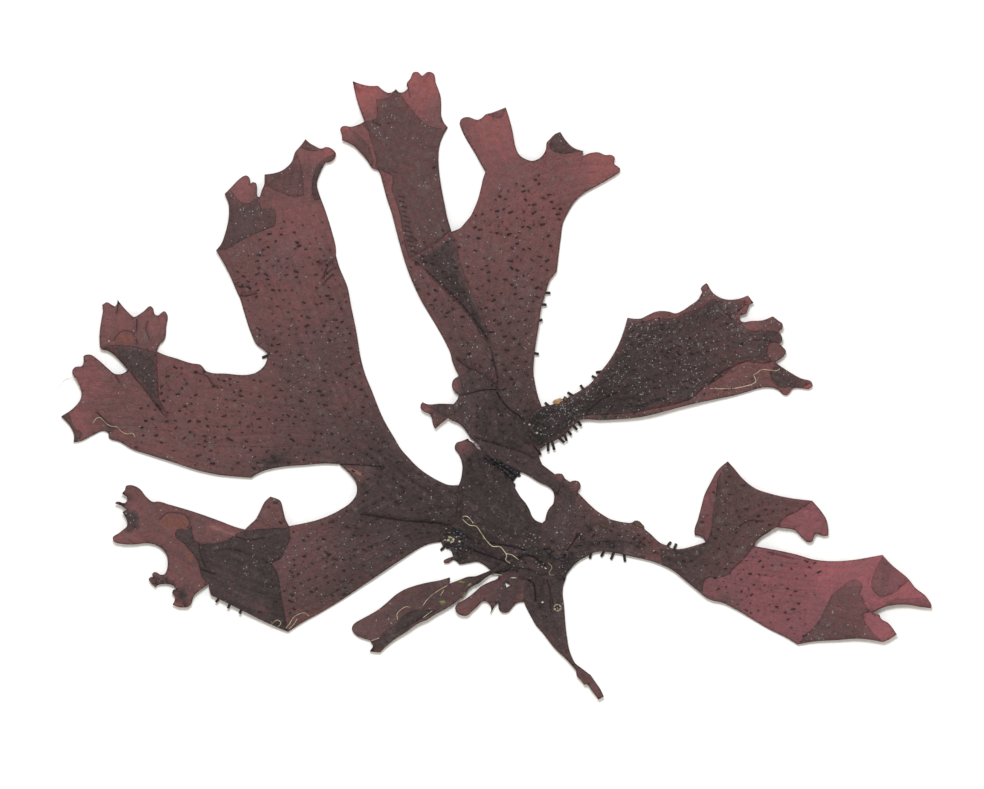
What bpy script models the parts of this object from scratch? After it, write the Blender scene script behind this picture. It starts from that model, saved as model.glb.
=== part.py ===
"""Mastocarpus alaskensis, a red seaweed of the rocky shore, pressed and dried flat.

Leathery fronds rise from one knotted crown, fork into lobed blades and carry peg-like papillae.
Some lobes were turned over on themselves in the press, so the thallus is two or three layers thick there.
Metres, +Z up. The origin is on the crown's flat underside, with +X and +Y in the plane of the press.
"""
import math
import random

import bmesh
import bpy
from mathutils import Matrix, Vector
from mathutils.geometry import delaunay_2d_cdt

# Driving dimensions
SPREAD = 0.148             # width of the pressed thallus, tip to tip
BLADE = 0.0006             # thickness of one layer of dried blade
GAP = 0.0003               # clearance between neighbouring fronds
FOLD_SINK = 0.0001         # how far a turned-over layer is pressed into the one below
EDGE_STEP = 0.0016         # longest edge along an outline
MESH_STEP = 0.0048         # spacing of the blade's inner points
WAVE_HEIGHT = 0.0012       # how far the dried blade lifts off the surface at most
WAVE_LENGTH_X = 0.038
WAVE_LENGTH_Y = 0.033
FLAT_RADIUS = 0.006        # the crown stays flat inside this radius
FLAT_FADE = 0.016          # distance over which the blade starts to wave

# Papillae and marginal spines
PAPILLA_RADIUS = 0.0004
PAPILLA_TIP = 0.00024
PAPILLA_HEIGHT = 0.0008
PAPILLA_ROOT = 0.00025     # depth of the root inside the blade
PAPILLA_SPACING = 0.0047
PAPILLA_JITTER = 0.3       # random shift, as a share of the spacing
PAPILLA_REACH = 0.060      # papillae stop this far from the crown, so the tips are bare
PAPILLA_MARGIN = 0.0010    # bare strip along every edge
PAPILLA_SIDES = 5
SPINE_RADIUS = 0.00026
SPINE_TIP = 0.00014
SPINE_ROOT = 0.0007
SPINE_SIDES = 5

# Outlines are drawn in plate units, x to the right and y down, 869 of them across the spread.
PLATE_SPREAD = 869.0
PLATE_CROWN_X = 497.0      # the plate point of the origin
PLATE_CROWN_Y = 518.0
UNIT = SPREAD / PLATE_SPREAD
S = True                   # marks an outline point as a corner, while the others are rounded

COLLECTION = "mastocarpus_alaskensis"


def place(x, y):
    """Plate units to metres."""
    return ((x - PLATE_CROWN_X) * UNIT, (PLATE_CROWN_Y - y) * UNIT)


def tangent(before, here, after):
    """Direction of a rounded outline at a point, weighted towards its nearer neighbour."""
    back = math.dist(before, here)
    ahead = math.dist(here, after)
    return tuple(
        ((b - a) / back * ahead + (c - b) / ahead * back) / (back + ahead)
        for a, b, c in zip(before, here, after)
    )


def trace(points):
    """Closed outline in metres, as Hermite arcs between its points that break at the corners."""
    loop = [place(*point[:2]) for point in points]
    sharp = [len(point) == 3 for point in points]
    count = len(loop)
    path = []
    for i in range(count):
        before, start, end, after = (loop[(i + k) % count] for k in (-1, 0, 1, 2))
        length = math.dist(start, end)
        chord = tuple((e - s) / length for s, e in zip(start, end))
        leave = chord if sharp[i] else tangent(before, start, end)
        arrive = chord if sharp[(i + 1) % count] else tangent(start, end, after)
        steps = max(1, round(length / EDGE_STEP))
        for j in range(steps):
            u = j / steps
            weights = (2 * u**3 - 3 * u**2 + 1, u**3 - 2 * u**2 + u, 3 * u**2 - 2 * u**3, u**3 - u**2)
            path.append(tuple(
                weights[0] * s + weights[1] * length * l + weights[2] * e + weights[3] * length * a
                for s, l, e, a in zip(start, leave, end, arrive)
            ))
    return path


def inside(x, y, loop):
    """Whether a point lies inside a closed loop."""
    crossings = False
    for (x1, y1), (x2, y2) in zip(loop, loop[1:] + loop[:1]):
        if (y1 > y) != (y2 > y) and x < x1 + (y - y1) / (y2 - y1) * (x2 - x1):
            crossings = not crossings
    return crossings


def edge_distance(x, y, loop):
    """Distance from a point to the nearest point of a loop."""
    return min(math.dist((x, y), corner) for corner in loop)


def grid(loop, spacing):
    """Points of a triangular grid over a loop's box, with the origin in the middle of one triangle."""
    xs = [corner[0] for corner in loop]
    ys = [corner[1] for corner in loop]
    rise = spacing * math.sqrt(3) / 2
    for row in range(math.floor(min(ys) / rise), math.ceil(max(ys) / rise) + 1):
        for column in range(math.floor(min(xs) / spacing), math.ceil(max(xs) / spacing) + 1):
            yield ((column - 0.5 + row % 2 / 2) * spacing, (row - 1 / 3) * rise)


def smoothstep(low, high, value):
    """Rises smoothly from 0 at low to 1 at high."""
    t = min(max((value - low) / (high - low), 0.0), 1.0)
    return t * t * (3 - 2 * t)


def wave(x, y):
    """How far the dried thallus stands off the surface: nothing under the crown, gentle swells outwards."""
    swell = 0.5 + 0.5 * math.sin(2 * math.pi * x / WAVE_LENGTH_X) * math.cos(2 * math.pi * y / WAVE_LENGTH_Y)
    return WAVE_HEIGHT * swell * smoothstep(FLAT_RADIUS, FLAT_RADIUS + FLAT_FADE, math.hypot(x, y))


def finished_mesh(piece):
    """The piece's mesh with its modifiers applied, which are then removed."""
    depsgraph = bpy.context.evaluated_depsgraph_get()
    mesh = bpy.data.meshes.new_from_object(piece.evaluated_get(depsgraph))
    piece.modifiers.clear()
    piece.data = mesh
    return mesh


def sheet(name, loop, bottom, thickness, collection):
    """A flat blade: the outline filled with triangles, alike on both faces, and given its thickness."""
    turning = sum(x1 * y2 - x2 * y1 for (x1, y1), (x2, y2) in zip(loop, loop[1:] + loop[:1]))
    if turning < 0:
        loop = loop[::-1]
    inner = [
        point for point in grid(loop, MESH_STEP)
        if inside(*point, loop) and edge_distance(*point, loop) > MESH_STEP / 3
    ]
    points = [Vector(point) for point in loop + inner]
    outline = [list(range(len(loop)))]
    flat, _, faces, _, _, _ = delaunay_2d_cdt(points, [], outline, 1, 1e-7)
    mesh = bpy.data.meshes.new(name)
    mesh.from_pydata([(x, y, bottom) for x, y in flat], [], faces)
    piece = bpy.data.objects.new(name, mesh)
    collection.objects.link(piece)
    solid = piece.modifiers.new("thickness", "SOLIDIFY")
    solid.thickness = thickness
    solid.offset = 1
    finished_mesh(piece)
    return piece


def add_peg(pegs, base, tip, radius, tip_radius, sides):
    """A blunt peg from its root to its tip, added to a mesh of pegs."""
    start = Vector(base)
    axis = Vector(tip) - start
    turn = Vector((0, 0, 1)).rotation_difference(axis).to_matrix().to_4x4()
    middle = Matrix.Translation(start + axis / 2) @ turn
    bmesh.ops.create_cone(pegs, cap_ends=True, segments=sides, radius1=radius, radius2=tip_radius,
                          depth=axis.length, matrix=middle)


def add_papillae(pegs, loop, fold_loops, covered, seed):
    """Papillae scattered over the upper face of a blade and of the layers folded onto it."""
    draw = random.Random(seed)
    shift = PAPILLA_JITTER * PAPILLA_SPACING
    for x, y in grid(loop, PAPILLA_SPACING):
        x += draw.uniform(-shift, shift)
        y += draw.uniform(-shift, shift)
        reach = PAPILLA_REACH * draw.uniform(0.9, 1.05)
        lean_x = draw.uniform(-0.3, 0.3) * PAPILLA_HEIGHT
        lean_y = draw.uniform(-0.3, 0.3) * PAPILLA_HEIGHT
        if math.hypot(x, y) > reach or not inside(x, y, loop) or edge_distance(x, y, loop) < PAPILLA_MARGIN:
            continue
        if any(inside(x, y, other) or edge_distance(x, y, other) < PAPILLA_MARGIN for other in covered):
            continue
        if any(edge_distance(x, y, fold) < PAPILLA_MARGIN for fold, _ in fold_loops):
            continue
        top = max([BLADE] + [height for fold, height in fold_loops if inside(x, y, fold)])
        add_peg(pegs, (x, y, top - PAPILLA_ROOT), (x + lean_x, y + lean_y, top + PAPILLA_HEIGHT),
                PAPILLA_RADIUS, PAPILLA_TIP, PAPILLA_SIDES)


def add_spines(pegs, spines):
    """Marginal spines, each lying in the plane of the blade from its edge to its tip."""
    for base_x, base_y, tip_x, tip_y in spines:
        base = Vector((*place(base_x, base_y), BLADE / 2))
        tip = Vector((*place(tip_x, tip_y), BLADE / 2))
        root = base - (tip - base).normalized() * SPINE_ROOT
        add_peg(pegs, root, tip, SPINE_RADIUS, SPINE_TIP, SPINE_SIDES)


def thallus_material(name, colour):
    """Dried thallus: leathery and matt, in one of its reds and browns."""
    material = bpy.data.materials.new(name)
    material.use_nodes = True
    shader = material.node_tree.nodes["Principled BSDF"]
    shader.inputs["Base Color"].default_value = (*colour, 1.0)
    shader.inputs["Roughness"].default_value = 0.62
    shader.inputs["Metallic"].default_value = 0.0
    return material


def frond(name, outline, colour, folds=(), spines=(), covered=(), bare=False, lift=None):
    """One frond: its blade, the layers folded onto it, its papillae and spines, all grown together.

    Each fold is an outline and its number of layers. Covered outlines are neighbours that lie over the blade.
    A lift raises the root over a neighbour: its plate point, the reach held up and the reach of the slope.
    """
    collection = bpy.data.collections[COLLECTION]
    growths = bpy.data.collections.new(name + "_growths")
    bpy.context.scene.collection.children.link(growths)
    loop = trace(outline)
    piece = sheet(name, loop, 0.0, BLADE, collection)

    fold_loops = []
    for number, (fold, layers) in enumerate(folds):
        fold_loop = trace(fold)
        sink = FOLD_SINK * (1 + 0.1 * number)
        thickness = layers * BLADE
        sheet(f"{name}_fold_{number}", fold_loop, BLADE - sink, thickness, growths)
        fold_loops.append((fold_loop, BLADE - sink + thickness))

    pegs = bmesh.new()
    if not bare:
        add_papillae(pegs, loop, fold_loops, [trace(other) for other in covered], name)
    add_spines(pegs, spines)
    if pegs.verts:
        peg_mesh = bpy.data.meshes.new(name + "_pegs")
        pegs.to_mesh(peg_mesh)
        growths.objects.link(bpy.data.objects.new(name + "_pegs", peg_mesh))
    pegs.free()

    if growths.objects:
        union = piece.modifiers.new("grown_together", "BOOLEAN")
        union.operation = "UNION"
        union.operand_type = "COLLECTION"
        union.collection = growths
        finished_mesh(piece)
    for growth in list(growths.objects):
        bpy.data.objects.remove(growth)
    bpy.data.collections.remove(growths)

    for vertex in piece.data.vertices:
        x, y, _ = vertex.co
        vertex.co.z += wave(x, y)
        if lift:
            root_x, root_y, held, slope = lift
            away = math.dist((x, y), place(root_x, root_y)) / UNIT
            vertex.co.z += (BLADE + GAP) * (1 - smoothstep(held, held + slope, away))
    piece.data.materials.clear()
    piece.data.materials.append(thallus_material(name + "_thallus", colour))
    return piece


# Left frond: a broad stalk from the crown that forks into three blades.
# The upper blade has turned-in shoulders, the middle one a wedge fold, the lower one is folded over itself.
LEFT_OUTLINE = [
    (101, 349), (99.5, 341), (99.5, 334), (102, 316), (103, 310), (102, 305, S), (107, 302), (112, 305),
    (115, 306.5), (117, 304), (117.5, 299.5, S), (122, 305.5), (126, 310), (130, 314), (134, 317),
    (139, 314.5), (144, 311), (150.5, 306), (153.5, 309), (154.5, 314), (158, 315.5), (161, 313),
    (164.5, 311), (167.5, 315), (166.5, 325), (163.5, 341), (160, 344), (158, 348), (157, 351.5, S),
    (165, 355), (175, 358), (193, 363.5), (200, 364.5), (206, 371, S), (210, 372.5), (225, 373.5),
    (249, 374.5), (255, 373), (260, 370), (264, 366), (268.5, 354, S), (264, 350), (257, 345),
    (251, 333), (245, 315), (240, 298, S), (237, 292), (232, 280), (223, 262), (216, 250.5, S),
    (220.5, 245), (225.5, 232), (228.5, 218), (229, 211), (228.5, 204), (224.5, 194, S), (230, 188.5),
    (240, 178.5), (243.5, 176), (247, 175.5), (250, 179), (250.5, 183.5, S), (253, 182), (256, 183),
    (257, 188), (257.5, 196), (258.5, 197), (262, 189.5), (264, 185), (264.5, 174.5, S), (275, 173),
    (281, 171), (287, 167), (291.5, 162), (295.5, 151.5), (300, 146.5), (305.5, 139, S), (309, 142.5),
    (314, 145.5), (322, 148.5), (325.5, 147), (334, 150.5), (336, 153.5), (335, 158), (329, 162.5),
    (325.5, 162.5, S), (321, 171), (317, 185), (319, 193), (324.5, 208), (331.5, 230), (336, 250),
    (336, 255.5, S), (339, 266), (347.5, 287), (351, 305), (356.5, 332), (361.5, 361), (364.5, 372),
    (372, 391), (384, 420), (395, 439), (401, 449), (408, 457), (420, 469), (430, 476), (440, 481.5),
    (447, 484.5), (456, 485, S), (455, 492), (454.5, 505), (453, 516), (451, 521, S), (445, 523),
    (439.5, 528), (437, 533), (436, 539.5, S), (426, 545), (410, 554), (400, 560.5), (380, 574),
    (360, 587.5), (340, 601), (320, 613), (300, 624), (288, 632, S), (275, 626.5), (261, 620),
    (245, 612), (230, 604.5), (216, 597.5), (211, 595), (209.5, 590), (208.5, 584, S), (201, 589.5),
    (194, 596), (192.5, 600), (191, 604.5), (188, 607), (183, 607.5), (178, 607), (172.5, 604.5, S),
    (174.8, 600), (174.5, 596), (172, 593), (173, 590), (176, 589), (175, 587), (168, 584), (163, 584),
    (158, 585), (155.5, 587.5, S), (150, 582), (148.5, 579), (150.5, 577), (153, 577), (152, 574),
    (154, 572), (157, 572.5), (160, 574.5), (164, 574.5), (167, 569), (167.7, 562), (167, 556),
    (161, 548), (156, 545), (150, 543.5), (131, 544.5), (122, 544), (113.5, 541), (112.5, 538),
    (119, 533), (124, 529), (127, 526), (127, 521), (125, 516), (122.5, 512), (127, 510, S),
    (121, 505.5), (115, 503), (117, 501.5), (125, 503), (127, 501), (126.5, 496.5), (122, 493.5),
    (125, 490), (126, 486), (130, 485), (136, 486.5), (140, 489), (146, 496.5), (154, 502), (157, 501.5),
    (169, 504.5), (193, 511.5), (216, 519.5), (239, 528), (245, 529.5, S), (251, 523.5), (255, 520),
    (260, 511), (265, 501.5), (270.5, 496.5, S), (280.5, 501), (283, 509), (285.5, 519), (289, 526, S),
    (300, 524), (320, 519), (338, 511), (352, 501), (356, 495), (357, 489), (356, 483), (349, 473),
    (339, 464, S), (325, 463.5), (305, 465), (285, 466.5), (265, 470.5), (257, 474), (251, 477.8, S),
    (235, 476.5), (220, 475), (190, 468), (180, 464.5), (150, 455), (132, 449), (120, 442), (108.5, 437),
    (108.5, 433), (104, 431), (93, 435), (81, 441), (73.5, 442.5, S), (74, 435), (70, 426),
    (61, 416.5, S), (73.5, 408), (80.5, 399), (81.5, 393), (77, 382), (72.5, 370), (75, 367), (82, 366),
    (83.8, 361), (83.5, 356), (89.5, 354.5), (98, 359.5), (108, 368.5), (115.5, 374), (124, 373),
    (128, 370, S), (120, 361), (114, 355), (108, 351),
]
LEFT_WEDGE = [
    (103, 347, S), (112, 345), (125, 345.5), (133, 346), (145, 349), (156.5, 352.5, S), (157.5, 370),
    (158, 385), (160, 400), (165, 410), (172, 421, S), (167, 418), (159, 410), (150, 398), (142, 387),
    (135, 379), (127.5, 369), (120, 360), (114, 354), (108, 350), (102, 348.5),
]
LEFT_SHOULDER = [
    (217.5, 250, S), (221.5, 245), (226.5, 232), (229.5, 218), (229.8, 204), (225.5, 193.8, S),
    (229, 190), (236, 197), (243, 203), (250, 203), (256, 199), (258, 201), (262, 208), (275, 210),
    (276, 217), (275, 226, S), (262, 231), (250, 236), (237, 243), (225, 249.5),
]
LEFT_NOTCH = [
    (265.3, 175.5, S), (275, 174), (281, 172), (288, 168), (292.5, 163), (296.5, 153, S), (301, 165),
    (303, 180), (304, 195, S), (295, 197), (280, 192), (270, 187), (265, 181),
]
LEFT_TIP = [(300.5, 147.5, S), (305.5, 140.5, S), (310, 144.5), (323, 149.5, S), (312, 151)]
LEFT_CURL = [
    (335, 154, S), (334, 157.5), (329, 161.5), (324.8, 161.8, S), (320, 171), (316, 185), (318, 193),
    (321, 199, S), (315, 200), (312, 190), (313, 178), (318, 165), (325, 158),
]
LEFT_HEM = [
    (62.5, 416.5, S), (69, 413, S), (72, 422), (76, 429), (82, 433), (78.5, 441, S), (74.7, 441.5, S),
    (75, 435), (71, 426),
]
LEFT_TURNOVER = [
    (245.5, 530.5, S), (260, 529), (275, 528), (289.5, 527.5, S), (289.5, 540), (286, 548), (280, 559),
    (271, 563, S), (275, 568), (278, 575), (280, 585), (282, 600), (285, 615), (287.5, 630.5, S),
    (275, 625.3), (261, 618.8), (245, 610.8), (230, 603.3), (216, 596.3), (212, 594), (210.5, 589),
    (208.5, 583, S), (204, 580), (201, 574), (197, 560), (193, 554), (187, 547), (181, 541), (176, 538),
    (175.5, 532), (178, 529), (183, 529), (187, 530), (192, 525, S), (193, 536), (196, 541),
    (201, 543.5), (207, 543.5), (216, 543), (225, 541), (238, 533),
]
LEFT_SPINES = [
    (219, 598.5, 217, 602.5), (230, 604, 228, 608), (241, 609.5, 239, 613), (267, 356, 263, 358.5),
]

# Top frond: two forked blades on one stalk, the left one folded lengthwise and crossing over the right one.
# Its base bends down beside the crown as a broad band.
TOP_OUTLINE = [
    (352.5, 81, S), (360, 83.8), (370, 85.9), (378, 85.8, S), (382.5, 89.8), (388.5, 92.9),
    (391.5, 92.6), (396, 89, S), (399, 92.3), (403, 92.3), (408, 88.5, S), (406.5, 84.4), (410.5, 78.3),
    (413.5, 72.2), (418, 72), (422, 75.8), (427, 72.2), (431, 72), (433.5, 73.4), (435.7, 82.5),
    (439, 91), (440.5, 96), (441.2, 108), (441.2, 115), (444, 122.7), (447.8, 127.4, S), (442.7, 136.7),
    (440, 144), (438.5, 160), (440, 178), (445, 206), (447, 216), (451.5, 231.7, S), (460.5, 227.8),
    (465.6, 222), (470.8, 215.6), (474, 209), (478, 199), (481, 187.4), (483, 178.5), (485.5, 171.7, S),
    (481, 164.4), (477, 157), (461.2, 128.5), (459.5, 123.3), (460.5, 120), (463.7, 117.6), (467.6, 117),
    (478.5, 119.7), (482.3, 117.6), (485.5, 114.4), (491, 113), (505.8, 107.3, S), (509.2, 118),
    (513, 133.6), (514.5, 142.6), (516.7, 150.3), (520, 155.4), (524.6, 158.6), (532.9, 160.8),
    (541.3, 156.7), (546.2, 147.7), (546.4, 143.2), (550.3, 138.7), (554.7, 134.2), (560.3, 131.7, S),
    (565.6, 140), (574.6, 148.3), (583.3, 151, S), (582.3, 156.5, S), (587, 154), (590.6, 153),
    (599, 152.4), (605, 155), (611.8, 155), (614.7, 157.3), (614, 164), (617.6, 166.3), (620, 168.2),
    (620, 171.4), (616.3, 174.6), (609, 179), (595, 187), (585, 192.6), (576, 200.3), (567, 214.4),
    (563, 223.3), (561.2, 235), (558.6, 255.4), (556.7, 271.5, S), (553.2, 276), (550.3, 279.4),
    (548, 284.6), (545, 295), (541, 309), (538.8, 325), (536, 342), (533.6, 364), (533.4, 371),
    (534.5, 380), (539.1, 399.4), (542, 407, S), (543, 425), (540.5, 445), (539.3, 457),
    (542.3, 464.6, S), (550.5, 470.8), (554.8, 474.2, S), (558.5, 473.4), (562, 473.8), (565, 478.5),
    (570, 481.8, S), (573.1, 480.7), (578, 481), (580.4, 484), (580.2, 488), (578, 491, S), (577, 497),
    (576.5, 510), (575, 531), (571.5, 541), (565.5, 548), (561, 555), (557.5, 557), (553.5, 551.5),
    (549, 549.5), (545.2, 549, S), (545.2, 535), (545.5, 521.5, S), (546.9, 512.8), (549.5, 507.7),
    (553, 504), (554, 499.5), (554, 494.4), (552, 489.7), (547.4, 486.2), (540.3, 482.6), (526, 473.8),
    (519.7, 471), (505.4, 464.6), (498.2, 460.5), (490, 456.4), (481.8, 450.3), (476.7, 442),
    (470.5, 438, S), (466.4, 431.8), (463.3, 427.7), (459, 423.6), (451, 420), (448, 418, S),
    (441.8, 423), (435.3, 428.9, S), (433.4, 426), (431.5, 417.4), (430, 414.4), (423.3, 411.3),
    (420.3, 408), (420.6, 404.6), (422.5, 402, S), (425, 403.4), (441, 403.6), (453.5, 404, S),
    (457.2, 399.5), (458.9, 395, S), (453.6, 390.8), (452, 387), (452, 383), (453.6, 379.5),
    (459, 376, S), (454.6, 367.6), (451.7, 359.6), (450.6, 353.8), (446.5, 344.6), (435, 323.8),
    (428, 312.3), (420, 298.4), (413, 283.4), (404.4, 260.4), (401, 248.8), (393.3, 219.6), (391, 211),
    (387.2, 200), (381.8, 180), (379.9, 173.3), (378, 170, S), (372, 168), (367.8, 161.7),
    (359.2, 151.3), (354.4, 146.5), (348.3, 143), (342, 140.3, S), (341.6, 133.7), (340, 130),
    (341.6, 126.7), (345.2, 125.8), (349.5, 126.7), (358, 124.8), (364.5, 121.5, S), (359.2, 107.5),
    (356.2, 97.8),
]
TOP_DOUBLED = [
    (376, 99.3, S), (382.4, 99.2), (388, 97.5), (391.5, 94.7), (396, 90, S), (401.3, 95.3),
    (405.5, 101.4), (415.3, 113.6), (420, 119), (426.2, 124.6), (432.3, 127), (439.6, 128.2),
    (446.5, 127.8, S), (441.7, 136.7), (439, 144), (437.5, 160), (439, 178), (444, 206), (446, 216),
    (450.3, 231, S), (440, 240), (430, 247), (419, 253), (408.5, 258, S), (405.5, 247.6), (403, 234),
    (398.2, 208.6), (394.6, 197.6), (391.5, 189), (392.7, 182), (391.5, 175.7, S), (381.2, 170.2),
    (374.5, 166.5, S), (376, 163.5), (374.5, 152.6), (370.2, 138), (367.8, 130.6), (363, 124.6),
    (366, 121.5, S), (376.3, 118.5, S), (376.9, 108.7),
]
TOP_EAR = [
    (343, 139.5, S), (343.4, 132), (348.3, 129.7), (353, 130.6), (364, 140.4), (368.4, 145.3),
    (371, 152.6), (373.2, 163.5), (372, 166.8, S), (368.8, 161.7), (360.2, 151.3), (355, 145.8),
    (348.8, 142),
]
TOP_CROSSING = [
    (451.5, 232.8, S), (456.3, 240.8), (458.6, 254.6), (463.8, 272), (468.4, 284.6), (477.7, 305.4),
    (485.7, 323.8), (492, 344, S), (488, 342.3), (473, 322), (459.2, 304.8), (446.5, 292.7),
    (430.4, 276.5), (415.4, 262.7), (408.8, 258.6, S), (419, 253.6), (430, 247.6), (440, 240.6),
]
TOP_TIP_LEFT = [
    (487.4, 115, S), (492, 114), (505, 109, S), (504.7, 113), (501.5, 117.6), (497.7, 118.2),
    (492.6, 116.5),
]
TOP_TIP_RIGHT = [
    (551, 139.6, S), (555, 135.4), (560, 133, S), (564.8, 141), (573.8, 149.3), (580.5, 151.2, S),
    (572, 152.8), (563, 154), (555.4, 152.2), (550.5, 149.6), (549.3, 144),
]
TOP_ELBOW = [
    (459.8, 377, S), (465, 373), (473, 369), (482, 374.5), (491.5, 380.5), (497.5, 386), (496, 389, S),
    (489, 389.2), (480, 390.3), (471.5, 392.5), (464, 393.8, S), (461.5, 386),
]
TOP_FINGER = [
    (424, 404.4, S), (441, 404.6), (453.5, 405), (460, 404), (467, 402.6, S), (461, 408), (454, 413.5),
    (447, 416.8), (441, 414.2), (435.6, 411.3), (430, 408),
]
TOP_SPINES = [
    (545.8, 292.5, 550, 292), (542, 304.5, 546.3, 304.8), (538.8, 321, 542.2, 320.7),
    (534.5, 353, 538.5, 353),
]

# Right upper frond: a narrow spiny stalk that widens to a fringed blade, doubled over most of its length.
RIGHT_UPPER_OUTLINE = [
    (529, 419, S), (533, 411.5), (542.5, 406.5), (550.2, 405), (556, 403.2), (561.7, 400.8),
    (570.4, 396), (580, 390.7), (589.6, 384), (600, 372.3), (609, 361), (617, 347.6), (623.3, 332),
    (627.5, 317.7, S), (633.8, 318.7), (641, 318.4), (648, 315), (657.8, 311.2), (662.8, 311),
    (669, 311.6), (675.5, 313.4), (681.8, 311), (690.3, 305.3), (698, 299.6), (700.8, 294.7),
    (702.3, 292, S), (700.6, 288.6), (703.7, 284.8), (706.5, 283), (709.3, 287.6), (712.8, 292.6),
    (718.5, 296.8), (725.5, 299.3), (732.6, 299.6), (739.6, 298.6), (748, 295.4, S), (753.7, 303, S),
    (750.2, 304.6), (747.4, 310.2), (746, 313.7), (739.6, 315.8), (739.4, 318.7), (741.7, 321.5),
    (751, 321), (763.6, 320), (772.8, 316.3, S), (777.7, 320), (782.7, 324.3), (782, 329.2),
    (779, 331.4), (781.2, 335), (782.4, 340.5), (779.5, 344, S), (783.4, 347.6), (786, 351),
    (785, 354.6), (780.5, 359), (774.9, 362.2, S), (783.4, 368), (801.7, 378.6), (811.6, 382),
    (812.6, 385.7), (808.7, 389.2), (803, 388.5), (791.8, 389.2), (789.7, 392.7), (786.2, 395.5),
    (782, 394), (779, 390.6), (775, 388.5), (766.4, 387.3), (758, 388.5), (748, 391.6), (734, 395.5),
    (720, 398.3), (696, 403.3), (673.3, 409), (646.5, 416), (634, 418), (619.7, 419.2), (600, 420.2),
    (583.8, 419.5), (579.5, 420.3, S), (575, 424.6), (571, 428), (566, 434.2), (563.5, 436.5),
    (559, 438.5), (550.7, 442.8), (547.3, 444), (542.5, 447.5), (538, 449.5), (533, 444), (530, 434),
]
RIGHT_UPPER_DOUBLED = [
    (534, 414, S), (543.5, 408), (557, 404.8), (571, 397.6), (581, 392), (590.6, 385.4), (601, 374),
    (610.5, 362), (618.5, 348.5), (625, 332), (630, 321, S), (641, 322), (656, 318.5), (676, 317.5),
    (684, 313), (700, 308), (706, 304), (712, 299.5), (718, 298.8), (725.5, 301), (739.6, 300),
    (746, 299.5, S), (744, 306), (739, 311), (736, 315), (737.5, 320), (741, 324), (752, 330.5),
    (765, 330.5), (778.5, 332.2, S), (780, 336), (781, 340), (778.5, 343, S), (770, 343), (767.5, 350),
    (768.5, 357), (773.5, 361.5, S), (762.2, 363.8), (745.3, 362.1), (739.6, 364.2), (731.2, 368.7),
    (720, 377.9), (705.8, 387), (690.3, 399), (683, 402), (655, 408.5), (640, 411.5), (625, 413.5),
    (605, 414.5), (588, 415), (579, 417.8, S), (574, 422.5), (565, 433), (550, 441.2), (538, 447.5),
    (534, 443), (531.5, 434), (530.5, 421),
]
RIGHT_UPPER_TIP = [
    (769.5, 372, S), (776.5, 364.8, S), (800.5, 379.3), (811, 383, S), (805, 386), (792, 387),
    (778, 386.6), (771.5, 379),
]
RIGHT_UPPER_SPINES = [
    (548.2, 444, 549, 451), (552.3, 442.5, 554.3, 449.8), (559.5, 438.5, 563.5, 443),
    (564.8, 435, 567.5, 440.2), (568.5, 431.5, 571.3, 434.8), (573.2, 426, 576.3, 430),
    (578, 421.5, 581.8, 425), (548.5, 405.7, 545, 402.8), (572.5, 395.3, 568.3, 391.8),
    (583, 389, 579.8, 386), (596.5, 378.5, 592, 376), (601, 371.5, 596.2, 371.5),
    (537.5, 449, 541.5, 454),
]
RIGHT_UPPER_LIFT = (534, 432, 34, 70)

# Right lower frond: a slender stalk, a fringed main blade, and a side branch that lies over its foot.
RIGHT_LOWER_OUTLINE = [
    (581, 493.8, S), (584, 498.7), (590, 504.8), (596.2, 510.3), (603.5, 515.2), (609.6, 518.8),
    (617, 521), (625.5, 522.5), (632.2, 522.5), (634.6, 520.6), (640, 521.6), (644.3, 528.6),
    (650, 533.4), (661, 543.2), (667, 545.6), (673, 548.7), (683, 548.6), (692.3, 546.3),
    (705, 542.3, S), (704, 538.8), (701, 536.5), (694.6, 535.4, S), (694.4, 530.7), (698, 519),
    (701.5, 505.4), (704.4, 495), (710.7, 482.3), (717.7, 470.2), (722.3, 465.6), (727.8, 461.3, S),
    (733.8, 468), (743, 478.8), (748.8, 484), (757, 489.2), (767.3, 492.7), (791.5, 498.2),
    (812.2, 500.7, S), (820.3, 510), (826.7, 520.4), (827.8, 526), (828.4, 535.4, S), (824.9, 536.3),
    (815, 534.4), (813.6, 537.7), (812, 541.7), (809.4, 542.6), (802, 537.7), (795, 530.5), (782, 528),
    (777, 527.3), (768.4, 532.5), (760.3, 537.7), (755.7, 542.3), (754, 546, S), (773, 549.4),
    (794, 553.8), (815.7, 559.8), (827.2, 561), (852.3, 560), (870.7, 557), (882.5, 554.8, S),
    (890.3, 563.4), (910, 580.7), (914.6, 587), (926, 596.3), (929, 600.4), (931.5, 605),
    (931, 608.4, S), (919.2, 606.7), (906.5, 604.7), (891.5, 605.5), (884.6, 607), (872.5, 612.7, S),
    (875.3, 614.2), (879.4, 614.5), (880.5, 618), (888, 622.8), (896.9, 634.4, S), (887, 640.5),
    (882.8, 642), (877.6, 641), (859.2, 638.7), (838.4, 640), (811, 642), (797.5, 644.5, S),
    (787.7, 638.4), (768, 628.6), (752, 619), (736, 609.5), (721.7, 602.5), (710.7, 600), (706, 597.6),
    (700.4, 593), (686.5, 581.5), (673, 570.6), (656, 562.7), (634, 557), (609.6, 552.1), (601, 551.3),
    (592.6, 553), (585.3, 557.2), (579.2, 560.8), (573, 566.3), (569, 571.5), (567.2, 574, S),
    (566, 563), (567, 556), (570, 550), (576, 542), (578, 531), (579, 510), (579.3, 499),
]
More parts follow.
